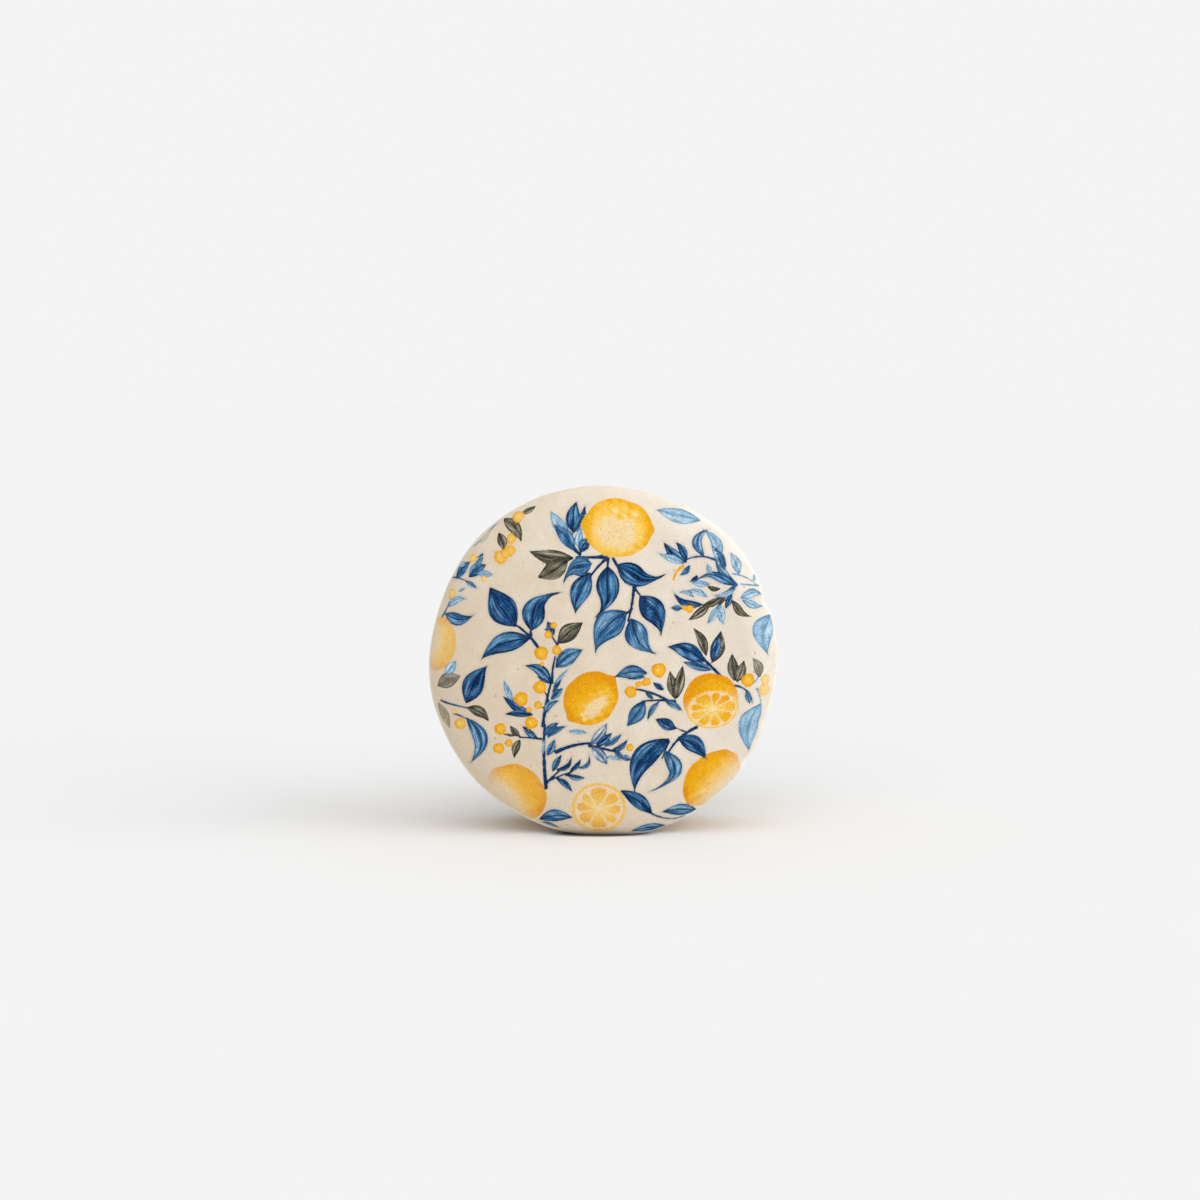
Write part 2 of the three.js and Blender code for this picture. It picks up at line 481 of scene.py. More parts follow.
def paintLemon(sheet, rng, u, v, length, width, turn, glow,
               tone=0.56, strength=1.0, fade=None, nipple=0.1):
    # A whole lemon with a nipple at the end that turn points to. glow is the pale patch: its place
    # along and across in half lengths, its size and how much longer than wide it is. tone is how
    # light the rest of it is, and fade the direction in which the ink runs out.
    ids, x, y, along, across = nearMotif(sheet, u, v, turn, length * 0.6 + 1)
    a, b = along / (length / 2), across / (width / 2)
    r, phi = np.hypot(a, b), np.arctan2(b, a)
    tip = nipple * (np.exp(-(phi / 0.2) ** 2) + 0.6 * np.exp(-((abs(phi) - np.pi) / 0.18) ** 2))
    rough = 0.012 * np.sin(5 * phi + rng.uniform(0, 6)) + 0.008 * np.sin(9 * phi + rng.uniform(0, 6))
    edge = (1 - 0.03 * np.cos(2 * phi) + tip + rough - r) * (length + width) / 4
    pale = np.exp(-((((a - glow[0]) / glow[3]) ** 2 + (b - glow[1]) ** 2) / glow[2] ** 2))
    aside = math.hypot(glow[0], glow[1])
    shaded = -(a * glow[0] + b * glow[1]) / max(aside, 0.001)
    deep = smoothStep(r, 0.65, 1.0) * 0.25 + smoothStep(abs(a), 0.5, 0.95) * 0.5
    deep = deep + smoothStep(shaded, 0, 0.7) * 0.4 * min(1, 2.5 * aside)
    dabs = [randomLine(rng, 5, 2, 9) for _ in range(4)]
    blotch = dabs[0](a * 2.4 + 1.3 * b) * dabs[1](b * 2.8 - a) + 0.4 * dabs[2](a * 6) * dabs[3](b * 6)
    colour = mixInks(tone + 0.5 * pale - 0.75 * deep + 0.2 * blotch, "gold")
    cream = linearColour(printForm["cream"])
    bare = smoothStep(pale + 0.36 * glow[2] * blotch, 0.42, 0.66) * 0.9
    colour = colour + (cream - colour) * bare[:, None]
    power = strength
    if fade:
        power = strength * (1 - 0.9 * smoothStep((x * fade[0] + y * fade[1]) * 2 / length, -0.35, 0.85))
    layInk(sheet, ids, edge, colour, power)


def paintSlice(sheet, rng, u, v, radius, squash, turn, segments=9, strength=1.0, rind=0.12):
    # the cut face of a lemon: rind, pith, segments and the pale walls between them
    ids, _, _, along, across = nearMotif(sheet, u, v, turn, radius + 1)
    a, b = along / radius, across / (radius * squash)
    r = np.hypot(a, b)
    edge = (1 - r) * radius * (0.5 + 0.5 * squash)
    aside = rng.uniform(-0.1, 0.1, 2)
    phi = np.arctan2(b - aside[1] * (1 - r), a - aside[0] * (1 - r))
    uneven = rng.uniform(-0.28, 0.28, segments + 1)
    part = phi / (2 * np.pi) * segments + segments / 2
    index = np.clip(np.round(part), 0, segments).astype(int)
    uneven[segments] = uneven[0]
    off = abs(part - index - uneven[index]) * 2 * np.pi / segments * np.maximum(r, 0.05) * radius
    own = rng.uniform(-0.25, 0.4, segments + 1)[np.clip(part.astype(int), 0, segments)]
    fibres = np.sin(phi * 31 + 3 * own) * 0.1 + np.sin(phi * 53) * 0.06
    freckles = randomLine(rng, 6, 9, 26)(a * 3 + 2 * b) * randomLine(rng, 6, 9, 26)(b * 3 - a)
    shade = 0.62 + 0.8 * own + fibres + 0.25 * freckles - 0.25 * smoothStep(r, 0.35, 0.8)
    colour = mixInks(shade, "gold")
    heart = linearColour(printForm["heart"])
    colour = colour + (heart - colour) * (0.7 * (1 - smoothStep(r, 0.2, 0.5)))[:, None]
    skin = smoothStep(r, 1 - 0.9 * rind, 1 - 0.5 * rind)
    colour = colour + (linearColour(printForm["rind"]) - colour) * skin[:, None]
    ring = 0.34 * rind * radius - abs(r - (1 - 1.3 * rind)) * radius
    wall = np.where(r < 1 - 1.2 * rind, 0.03 + 0.1 * r - off, -inkReach)
    notch = (r - (1 - 2.4 * rind)) * radius + 0.35 - 1.1 * off
    notch = np.where(r < 1 - 1.2 * rind, notch, -inkReach)
    paper = np.maximum(np.maximum(wall, notch), np.maximum(ring, (0.1 - r) * radius))
    pith = linearColour(printForm["pith"])
    colour = np.where((paper > -0.04)[:, None], colour * 0.5 + pith * 0.5, colour)
    layInk(sheet, ids, edge, colour, strength, None, paper)


# stems: u, v, heading, length, bend, width, ink if not navy
# leaves: u, v, heading, length, width, ink, bend, hook, strength if not 1
sprigs = {
    "threeLeaf": {
        "stems": [(-8.4, 1.9, 121, 4.2, 28, 0.42), (-9.3, 3.4, 96, 1.2, -10, 0.36)],
        "leaves": [
            (-11.2, 4.6, 126, 6.1, 3.9, "navy", 0.02, -0.04),
            (-9.3, 4.1, 76, 5.7, 3.1, "navy", 0.04, -0.46),
            (-9.3, 3.2, 198, 7.1, 2.7, "navy", -0.06, 0.12),
        ],
    },
    "greyAndBuds": {
        "stems": [(-5.9, 2.2, 118, 2.6, 20, 0.3)],
        "leaves": [(-5.9, 2.4, 40, 4.2, 2.3, "grey", 0.05, 0), (-6.4, 3.4, 112, 2.1, 1.1, "navy", 0, 0)],
    },
    "pendant": {
        "stems": [
            (0.6, 13.6, 185, 4.0, -8, 0.46), (0.6, 13.6, 222, 3.2, 10, 0.4),
            (0.6, 13.6, 268, 1.4, -6, 0.4), (1.2, 13.4, 300, 3.4, -6, 0.4),
            (3.9, 10.2, 268, 4.8, -14, 0.42), (3.6, 6.9, 225, 1.4, -14, 0.36),
            (3.9, 9.9, 290, 1.4, 25, 0.36),
        ],
        "leaves": [
            (-3.7, 13.4, 174, 5.9, 2.0, "grey", 0.04, -0.04),
            (-4.5, 13.1, 214, 4.6, 2.5, "grey", 0, -0.1), (-1.5, 12.7, 188, 3.9, 2.5, "blue", 0.05, 0.5),
            (-1.7, 11.6, 244, 5.6, 2.7, "navy", -0.02, 0.12),
            (0.5, 12.4, 275, 6.4, 3.1, "navy", -0.03, -0.34),
            (1.7, 12.6, -30, 6.0, 2.9, "navy", -0.02, 0.34),
            (4.6, 8.6, -50, 5.7, 3.2, "navy", 0.02, -0.22),
            (3.5, 5.7, -68, 5.4, 3.1, "blue", -0.03, 0.24),
            (2.9, 6.6, 222, 6.5, 3.7, "blue", -0.03, 0.22),
        ],
    },
    "topSpray": {
        "stems": [(-3.0, 13.9, 150, 5.6, -95, 0.4), (-3.2, 14.0, 128, 2.0, -20, 0.3)],
        "leaves": [
            (-3.4, 16.6, 70, 3.4, 1.0, "pale", -0.05, 0.06), (-4.2, 16.0, 128, 4.1, 1.7, "pale", 0.05, 0),
            (-3.8, 16.5, 86, 4.0, 1.9, "navy", 0.06, -0.02),
            (-4.0, 16.4, 64, 4.0, 0.9, "navy", -0.04, 0.02),
            (-3.7, 14.3, 129, 4.2, 1.8, "blue", -0.06, 0), (-3.2, 14.6, 82, 2.6, 1.1, "pale", 0.05, 0),
            (-3.0, 14.1, 58, 2.2, 1.5, "navy", 0.05, 0),
        ],
    },
    "topRightLeaf": {
        "stems": [],
        "leaves": [(12.3, 18.2, 164, 6.0, 2.3, "pale", 0.03, 0.06)],
    },
    "rightSpray": {
        "stems": [
            (19.8, 10.0, 182, 2.8, -8, 0.26, "pale"), (17.0, 10.0, 138, 4.4, -26, 0.36, "blue"),
            (14.4, 13.0, 150, 4.4, 58, 0.3, "blue"), (17.0, 10.0, 214, 6.0, 6, 0.36, "blue"),
            (16.4, 11.4, -8, 3.6, -24, 0.22, "pale"), (16.9, 9.9, 240, 1.4, 12, 0.2, "blue"),
            (10.1, 12.3, 205, 2.1, 60, 0.42, "gold"),
        ],
        "leaves": [
            (10.7, 12.8, 141, 4.1, 1.3, "navy", 0.06, -0.06),
            (10.6, 13.0, 116, 2.9, 1.0, "navy", -0.04, 0.1),
            (10.4, 12.6, 162, 3.8, 1.0, "pale", -0.05, -0.1), (11.0, 12.5, 226, 1.8, 0.8, "blue", 0.1, 0),
            (12.8, 13.5, 84, 3.7, 1.3, "blue", 0.3, -0.1),
            (14.4, 12.7, 107, 4.7, 1.6, "pale", -0.15, 0.1),
            (15.6, 12.0, 122, 3.4, 0.8, "blue", -0.08, 0), (13.6, 10.1, 166, 2.8, 0.9, "pale", 0.1, 0.1),
            (17.3, 11.3, 112, 3.0, 1.5, "pale", -0.06, 0),
            (16.4, 10.7, 136, 3.4, 0.9, "blue", 0.06, -0.1),
            (16.8, 9.9, 158, 5.3, 1.2, "blue", -0.04, 0.34), (13.8, 11.3, 116, 1.5, 0.7, "pale", 0.05, 0),
            (12.0, 11.2, 215, 1.1, 0.7, "navy", 0.2, 0), (15.0, 9.5, 166, 1.9, 0.7, "grey", 0.14, 0),
            (13.3, 8.4, 160, 2.9, 0.8, "pale", -0.08, 0.1), (11.6, 8.4, 160, 2.2, 0.6, "pale", -0.1, 0.1),
            (12.8, 7.5, 164, 4.3, 1.1, "navy", 0.12, -0.14), (10.1, 7.0, 178, 1.5, 0.8, "blue", 0, 0),
            (13.7, 7.6, 216, 3.5, 1.2, "grey", 0.04, 0), (16.4, 8.9, 248, 2.1, 0.9, "navy", 0, 0),
            (15.5, 9.2, 246, 2.2, 0.9, "grey", 0.03, 0), (14.8, 7.5, 284, 2.6, 1.2, "pale", 0, 0),
            (14.6, 7.3, 240, 2.6, 1.0, "pale", 0.06, 0), (16.4, 8.1, -43, 3.5, 1.1, "grey", -0.07, 0.08),
            (17.5, 8.3, 14, 3.4, 1.3, "pale", 0.06, -0.08),
            (17.7, 8.1, -14, 3.5, 1.0, "pale", -0.05, 0.04), (15.2, 8.5, 200, 3.2, 1.0, "grey", 0.1, 0.1),
            (16.9, 9.5, 196, 3.0, 0.7, "pale", 0.1, 0), (19.0, 10.6, 50, 1.6, 0.7, "pale", 0, 0),
        ],
    },
    "rightEdge": {
        "stems": [],
        "leaves": [(21.5, 6.3, 252, 5.4, 3.4, "pale", -0.16, 0.16)],
    },
    "rightCentre": {
        "stems": [
            (12.6, 0.7, -44, 6.2, -2, 0.42), (17.0, -3.0, -6, 3.6, -78, 0.3, "blue"),
            (18.4, -3.1, 4, 2.6, 76, 0.24, "pale"), (19.9, -3.4, -62, 2.0, -20, 0.26, "pale"),
        ],
        "leaves": [
            (13.1, 0.1, 154, 5.3, 2.2, "navy", -0.05, 0.08),
            (13.2, 0.8, 112, 4.1, 1.3, "grey", -0.06, 0.06), (13.9, -0.1, 74, 4.3, 2.0, "grey", -0.05, 0),
            (14.0, 0.1, 76, 3.6, 1.3, "navy", 0.0, 0), (17.0, -2.5, 97, 3.7, 1.6, "grey", 0.03, 0),
            (17.2, -2.6, 72, 3.0, 1.4, "grey", -0.04, 0),
            (20.2, -2.0, 106, 2.9, 1.4, "grey", -0.08, 0.1, 0.8),
            (13.9, -1.0, 168, 4.0, 1.2, "blue", -0.05, -0.1), (18.5, -3.5, -76, 2.0, 0.9, "blue", 0, 0),
            (20.5, -5.3, 254, 6.6, 3.2, "pale", -0.12, 0.06),
        ],
    },
    "centreRight": {
        "stems": [(9.7, -6.0, 138, 6.2, 34, 0.38), (9.2, -5.0, 172, 4.2, 16, 0.34)],
        "leaves": [
            (5.7, -1.4, 186, 4.2, 1.8, "blue", -0.10, 0), (5.4, -1.9, 186, 2.4, 0.6, "navy", -0.04, 0),
            (9.2, -4.8, 100, 3.8, 1.4, "grey", 0.02, 0), (9.4, -4.8, 80, 4.5, 1.4, "grey", 0, 0),
            (7.8, -3.6, 145, 1.8, 0.8, "navy", 0, 0), (5.3, -4.9, 236, 4.0, 2.1, "blue", 0.04, 0),
            (7.2, -5.0, 238, 2.9, 0.8, "blue", -0.08, 0), (7.8, -4.9, -30, 2.7, 0.9, "blue", 0.04, 0),
            (6.4, -4.7, 140, 1.4, 0.6, "navy", 0, 0),
        ],
    },
    "lowerRight": {
        "stems": [
            (12.0, -8.4, 200, 5.2, 45, 0.42), (8.4, -10.2, 245, 2.4, 8, 0.3),
            (10.7, -9.0, 164, 1.7, -18, 0.24),
        ],
        "leaves": [
            (9.3, -8.6, 150, 3.0, 1.6, "navy", 0.02, 0.06),
            (8.5, -9.8, 231, 8.4, 3.1, "navy", -0.12, 0.14),
            (9.5, -9.6, -34, 4.9, 2.3, "navy", 0.08, -0.12),
            (7.9, -11.4, 276, 5.2, 2.0, "blue", 0.2, -0.5),
        ],
    },
    "bottom": {
        "stems": [(6.2, -19.5, -32, 4.6, 38, 0.3, "blue"), (10.8, -19.2, 205, 2.2, 10, 0.2, "pale")],
        "leaves": [
            (6.3, -19.6, 142, 5.3, 2.0, "navy", -0.06, 0),
            (12.0, -18.9, 172, 5.0, 1.9, "blue", -0.07, 0.04),
            (8.1, -20.8, 186, 4.8, 1.5, "blue", -0.06, 0), (-8.3, -20.1, 8, 4.5, 1.9, "blue", 0.12, 0),
            (-8.0, -20.4, -18, 2.5, 0.6, "blue", 0.04, 0),
        ],
    },
    "tallTwig": {
        "stems": [
            (-7.4, -16.2, 96, 8.2, -10, 0.5), (-7.8, -8.2, 84, 6.0, -10, 0.42),
            (-6.6, -2.6, 92, 3.4, -18, 0.36), (-8.0, -9.9, 172, 2.8, 8, 0.3),
            (-6.9, -5.4, 108, 1.8, 10, 0.2), (-7.6, -6.2, 118, 1.2, 10, 0.2),
        ],
        "leaves": [
            (-6.2, -0.7, 34, 4.2, 2.2, "blue", 0.07, 0), (-6.7, -2.9, 140, 4.3, 1.5, "navy", -0.12, 0.1),
            (-7.0, -2.7, 150, 1.8, 0.5, "navy", 0, 0), (-6.6, -3.9, 58, 2.4, 0.6, "navy", 0, 0),
            (-6.5, -3.0, 48, 3.0, 0.5, "pale", 0, 0), (-6.8, -4.8, 44, 2.2, 1.0, "blue", 0, 0),
            (-7.5, -6.8, 46, 2.6, 0.9, "blue", 0.2, 0), (-7.6, -9.5, 44, 2.5, 1.1, "blue", 0.06, 0),
            (-7.3, -9.8, 32, 3.0, 0.8, "blue", 0.08, 0), (-7.3, -12.1, 66, 2.4, 1.1, "blue", -0.05, 0),
            (-7.6, -10.0, 262, 2.0, 0.5, "pale", 0, 0), (-8.4, -9.9, 140, 2.7, 0.9, "navy", 0.04, 0),
            (-10.7, -9.6, 133, 2.0, 0.9, "grey", 0.05, 0),
            (-10.7, -9.9, 250, 2.7, 1.1, "grey", -0.06, 0.05), (-11.3, -9.5, 172, 1.6, 0.4, "grey", 0, 0),
            (-9.0, -6.8, 148, 4.6, 1.2, "navy", 0.07, 0), (-9.0, -6.8, 179, 3.7, 1.0, "navy", -0.05, 0),
            (-11.6, -5.0, 114, 2.9, 0.9, "pale", 0.04, 0),
        ],
    },
    "twigFoot": {
        "stems": [
            (-7.3, -15.6, 50, 2.4, -10, 0.34), (-7.2, -15.4, 28, 3.2, -10, 0.28),
            (-4.8, -14.6, 30, 1.8, 20, 0.3),
        ],
        "leaves": [
            (-6.6, -14.2, 62, 2.6, 0.9, "navy", 0.04, 0), (-6.3, -13.9, 36, 2.9, 0.7, "navy", -0.20, 0.1),
            (-6.2, -14.9, -42, 2.9, 0.9, "navy", 0.08, 0), (-4.8, -14.5, -10, 2.5, 0.8, "navy", -0.08, 0),
            (-4.4, -14.1, 48, 2.2, 0.7, "navy", -0.1, 0), (-3.4, -13.7, 46, 2.4, 0.6, "blue", -0.26, 0.1),
        ],
    },
    "lowTwig": {
        "stems": [(-6.1, -11.6, 28, 4.6, -26, 0.5), (-1.8, -10.8, -10, 3.6, -6, 0.42)],
        "leaves": [
            (-1.8, -10.7, 52, 3.6, 1.4, "open", -0.06, 0), (-1.0, -10.8, 40, 2.7, 1.1, "navy", -0.05, 0),
            (0.0, -10.9, 36, 2.9, 0.8, "blue", -0.05, 0), (-1.6, -10.9, -48, 3.1, 1.5, "open", 0.04, 0),
            (1.0, -11.3, 34, 2.5, 0.8, "navy", -0.16, 0), (1.2, -11.4, -42, 1.9, 0.7, "navy", 0.08, 0),
            (2.2, -12.1, -20, 1.5, 0.8, "blue", 0, 0), (-4.6, -8.9, -4, 2.6, 0.7, "pale", 0, 0),
            (0.2, -12.3, -12, 2.2, 0.6, "pale", 0.1, 0),
        ],
    },
    "leftEdge": {
        "stems": [
            (-20.9, -4.9, -16, 3.6, 8, 0.3, "blue"), (-19.3, -6.6, -12, 2.0, -20, 0.26, "blue"),
            (-20.9, 6.1, 50, 2.2, 20, 0.26, "blue"),
        ],
        "leaves": [
            (-17.7, -5.3, 66, 5.7, 2.9, "navy", 0.02, -0.1),
            (-21.4, -3.0, 24, 3.6, 2.1, "grey", 0.04, 0, 0.8),
            (-17.6, -5.8, -26, 3.5, 1.5, "grey", 0.08, -0.14),
            (-21.2, -4.9, 294, 3.8, 1.5, "grey", 0.05, 0, 0.6),
            (-17.7, -7.1, -80, 6.1, 2.1, "blue", 0.22, -0.12),
            (-20.6, 6.4, -10, 4.1, 1.7, "blue", -0.10, 0.16),
            (-20.3, 7.2, 26, 3.1, 1.0, "pale", 0.08, -0.1), (-20.4, -1.6, 52, 2.4, 1.3, "pale", 0, 0),
            (-19.9, 8.2, 70, 1.5, 0.5, "blue", 0, 0),
        ],
    },
    "upperLeft": {
        "stems": [(-12.9, 18.4, 246, 5.2, -34, 0.34, "pale"), (-19.6, 11.0, -4, 3.0, -20, 0.26, "blue")],
        "leaves": [
            (-18.9, 10.9, 46, 3.0, 1.6, "blue", 0.1, 0), (-17.3, 11.0, 34, 2.8, 1.6, "blue", 0.1, 0),
            (-16.2, 11.5, -4, 2.1, 1.0, "pale", 0, 0), (-17.8, 10.6, -30, 1.9, 0.7, "blue", 0, 0),
            (-16.4, 12.2, 62, 2.2, 0.9, "blue", 0, 0), (-17.6, 12.6, 168, 1.8, 0.8, "pale", 0, 0),
            (-13.3, 16.6, -70, 2.6, 1.3, "grey", 0.04, 0),
            (-12.6, 18.4, -46, 4.3, 1.7, "grey", 0.05, -0.12),
            (-10.5, 19.0, 26, 2.3, 0.9, "grey", -0.05, 0), (-18.8, 9.2, 24, 1.2, 0.4, "pale", 0, 0),
            (-15.6, 15.2, 56, 2.4, 0.9, "grey", 0, 0, 0.25),
        ],
    },
}

# berries and dabs of yellow: u, v, radius, strength if not 1
berries = [
    (-8.0, 1.2, 0.88), (-6.0, 1.6, 0.6), (-8.2, -3.2, 0.84), (-10.6, -4.7, 0.9), (-8.4, -5.5, 0.52),
    (-9.3, -7.8, 0.82), (-13.3, -8.6, 0.76), (-13.5, -11.1, 0.72), (-12.2, -10.4, 0.5), (7.1, -1.0, 0.92),
    (3.5, -3.8, 0.76), (5.5, -2.5, 0.55), (18.7, -2.3, 0.88), (-10.8, 18.6, 0.8, 0.75),
    (-11.7, 15.8, 0.62, 0.8), (-11.9, 14.3, 0.7, 0.85), (-13.1, 13.5, 0.86, 0.85),
    (-12.5, 13.9, 0.6, 0.85), (3.4, -11.0, 0.48), (-6.4, 4.8, 0.42), (-7.1, 3.6, 0.5), (-9.6, -6.1, 0.34),
    (11.0, 6.9, 0.5), (10.3, 7.0, 0.3), (-16.6, 13.4, 0.55, 0.6), (-15.3, 10.8, 0.4, 0.6),
    (-19.6, 9.0, 0.6, 0.6), (-18.5, -7.9, 0.75, 0.8), (-19.2, -6.3, 0.35, 0.6), (20.9, -3.5, 0.85, 0.5),
    (21.0, -2.2, 0.7, 0.5), (-7.9, -0.2, 0.3), (4.5, -2.8, 0.4),
]


# lemons under and over the sprigs: u, v, length, width, turn, glow, tone, strength, fade, nipple
lowLemons = [
    (-11.3, -17.0, 8.6, 7.2, -48, (-0.1, -0.4, 0.5, 1.3), 0.7, 0.9, (-1.15, -0.85), 0.03),
    (-21.5, 2.5, 7.2, 5.2, 84, (0.1, 0.2, 0.5, 1.3), 0.85, 0.7, (-1, 0), 0.03),
    (14.1, -15.2, 9.0, 6.6, 45, (0.1, -0.8, 0.6, 1.3), 0.7, 1.0, (0.8, -0.7), 0.05),
]
highLemons = [
    (1.8, 17.3, 8.9, 7.2, -4, (-0.02, -0.16, 0.66, 1.1), 0.85),
    (-1.65, -4.65, 7.6, 6.3, 43, (-0.1, -0.38, 0.34, 1.9), 0.5, 1, None, 0.13),
    (13.9, -4.9, 7.2, 7.0, 75, (0, -0.4, 0.2, 1), 0.46, 1, (0.2, -1.0), 0),
]
# slices: u, v, radius, squash, turn, segments, strength, rind
bottomSlice = (-0.6, -18.9, 3.5, 0.98, 20, 8, 0.85)
cutFace = (14.1, -6.05, 3.4, 0.72, 6, 9, 1.0, 0.08)    # on the last of the lemons


def paintPattern(sheet, seed):
    rng = np.random.default_rng(seed)
    for lemon in lowLemons:
        paintLemon(sheet, rng, *lemon)
    paintSlice(sheet, rng, *bottomSlice)
    for sprig in sprigs.values():
        for stem in sprig["stems"]:
            paintStem(sheet, rng, *stem)
    for sprig in sprigs.values():
        for leaf in sprig["leaves"]:
            paintLeaf(sheet, rng, *leaf)
    for lemon in highLemons:
        paintLemon(sheet, rng, *lemon)
    paintSlice(sheet, rng, *cutFace)
    for berry in berries:
        paintBerry(sheet, rng, *berry)


def printDome(dome, angle, printRadius, turn, flip, seed):
    # turn and flip lay the same pattern another way round
    u, v = printRadius * np.cos(angle), printRadius * np.sin(angle)
    c, s = math.cos(math.radians(turn)), math.sin(math.radians(turn))
    sheet = newSheet((u * c - v * s) * flip, u * s + v * c)
    paintPattern(sheet, seed)
    colour = np.column_stack([sheet["ink"], sheet["strength"]])
    edges = np.column_stack([sheet["cover"], sheet["line"], sheet["light"]])
    storeValues(dome, "inkColour", "FLOAT_COLOR", colour)
    storeValues(dome, "inkEdges", "FLOAT_VECTOR", edges)
    storeValues(dome, "brushPlace", "FLOAT_VECTOR", sheet["brush"])


frontDome, frontAngle, frontPrint, frontPart = makeDome("front_dome", True, shellForm["frontRadius"], 3)
mapDome(frontDome, frontPart, frontAngle)
printDome(frontDome, frontAngle, frontPrint, 0, 1, 7)
backDome, backAngle, backPrint, backPart = makeDome("back_dome", False, shellForm["backRadius"], 17)
mapDome(backDome, backPart, backAngle)
printDome(backDome, backAngle, backPrint, 128, -1, 19)
print("domes made and printed:", len(frontDome.data.vertices), "points each")


# The ruffled feet

footForm = {
    "steps": 256,               # round the ring, the most that a new torus takes
    "cuts": 4,                  # and the cuts in each of them
    "section": 44,              # round its section
    "halfWidth": 1.7,
    "halfHeight": 1.52,
    "squareness": 3.3,          # 2 is a round section, more is squarer
    "bulge": 0.3,
    "ruffleDepth": 0.6,
    "lean": 0.05,               # radians that a ruffle leans over the foot's height
    "bubbleSize": 0.95,
    "bubbleDepth": 0.24,
    "crumbSize": 0.34,
    "crumbDepth": 0.1,
    "pleatSize": 0.62,          # fine upright folds, longer than they are wide
    "pleatDepth": 0.2,
    "endShare": 0.35,           # how much of the fine relief is left at top and bottom
}


def makeFoot(name, front, radius, seed):
    # a ring whose round section is squared off, ruffled like the solid's, with burst bubbles on top
    clearSelection()
    startRadius = 2
    bpy.ops.mesh.primitive_torus_add(major_segments=footForm["steps"], minor_segments=footForm["section"],
                                     major_radius=startRadius, minor_radius=1)
    foot = namePiece(name)
    cutRing(foot, footForm["cuts"])
    start = readPoints(foot) * mm
    angle = np.arctan2(start[:, 1], start[:, 0])
    out, up = np.hypot(start[:, 0], start[:, 1]) - startRadius, start[:, 2]
    power = footForm["squareness"]
    spread = (abs(out) ** power + abs(up) ** power) ** (1 / power)
    out, up = out / spread, up / spread

    outside = smoothStep(out, -0.2, 0.6)
    footRadius = radius - shellForm["footInset"] + footForm["bulge"]
    height = shellForm["footHeight"] / 2 + up * footForm["halfHeight"]
    onFoot = np.sin(np.pi * np.clip(height / shellForm["footHeight"], 0, 1))
    leaning = angle + footForm["lean"] * height / shellForm["footHeight"]
    ruffle = ringWaves(edgeForm["ruffles"], seed)(leaning)
    ringRadius = footRadius - footForm["halfWidth"] + footForm["halfWidth"] * out
    ringRadius += outside * footForm["ruffleDepth"] * onFoot * ruffle
    if front:
        ringRadius += outlineRelief(angle) * (ringRadius / radius) ** 4

    # bubbles are taller than wide, as they rise in the oven
    around = np.stack([np.cos(angle) * footRadius, np.sin(angle) * footRadius, height * 0.75 + seed], 1)
    bubble = np.array([noise.voronoi(Vector(p))[0][0] for p in around / footForm["bubbleSize"]])
    crumb = np.array([noise.noise(Vector(p)) for p in around / footForm["crumbSize"]])
    upright = around * (1, 1, 0.3) / footForm["pleatSize"]
    pleat = np.array([noise.noise(Vector(p)) for p in upright])
    relief = footForm["bubbleDepth"] * (0.45 - bubble) + footForm["crumbDepth"] * crumb
    relief += footForm["pleatDepth"] * pleat
    ringRadius += outside * relief * (footForm["endShare"] + (1 - footForm["endShare"]) * onFoot)
    writePoints(foot, shellPoints(ringRadius, angle, height, radius, front))
    # how high the relief stands; the foot's material paints it lighter on the ridges and darker in the
    # hollows, as painted highlight and painted shade
    reliefShading = 0.5 + relief / 0.34 + 0.35 * ruffle * onFoot
    storeValues(foot, "reliefShading", "FLOAT", np.clip(reliefShading, 0, 1))
    finishNormals(foot)
    return foot


def cutRing(ring, cuts):
    # cuts the edges that run round a new torus
    bpy.ops.object.mode_set(mode="EDIT")
    bpy.ops.mesh.select_mode(type="EDGE")
    bpy.ops.mesh.select_all(action="DESELECT")
    mesh = bmesh.from_edit_mesh(ring.data)
    for edge in mesh.edges:
        start, end = (math.atan2(v.co.y, v.co.x) for v in edge.verts)
        edge.select = abs(start - end) > 0.001
    mesh.select_flush_mode()
    bmesh.update_edit_mesh(ring.data)
    bpy.ops.mesh.subdivide(number_cuts=cuts)
    bpy.ops.object.mode_set(mode="OBJECT")


def finishNormals(piece):
    pickOnly(piece)
    bpy.ops.object.mode_set(mode="EDIT")
    bpy.ops.mesh.select_all(action="SELECT")
    bpy.ops.mesh.remove_doubles(threshold=0.000001)
    bpy.ops.mesh.normals_make_consistent(inside=False)
    bpy.ops.object.mode_set(mode="OBJECT")
    bpy.ops.object.shade_smooth()


frontFoot = makeFoot("front_foot", True, shellForm["frontRadius"], 11)
backFoot = makeFoot("back_foot", False, shellForm["backRadius"], 29)
print("feet made")


# The filling

fillingForm = {
    "steps": 720,               # round the rim
    "rings": 9,                 # cut into the side wall
    "inset": 1.7,
    "edgeRound": 0.9,
    "bulge": 0.18,
    "waveDepth": 0.16,
    "waves": [5, 9, 14],
    "smearSize": 2.6,
    "smearDepth": 0.16,
    "bubbles": 90,
    "bubbleSize": (0.12, 0.3),
    "bubbleDepth": 0.4,         # over its size
    "bubbleRadius": 20.5,
    "bubbleReach": 1.7,         # to each side of the middle
}


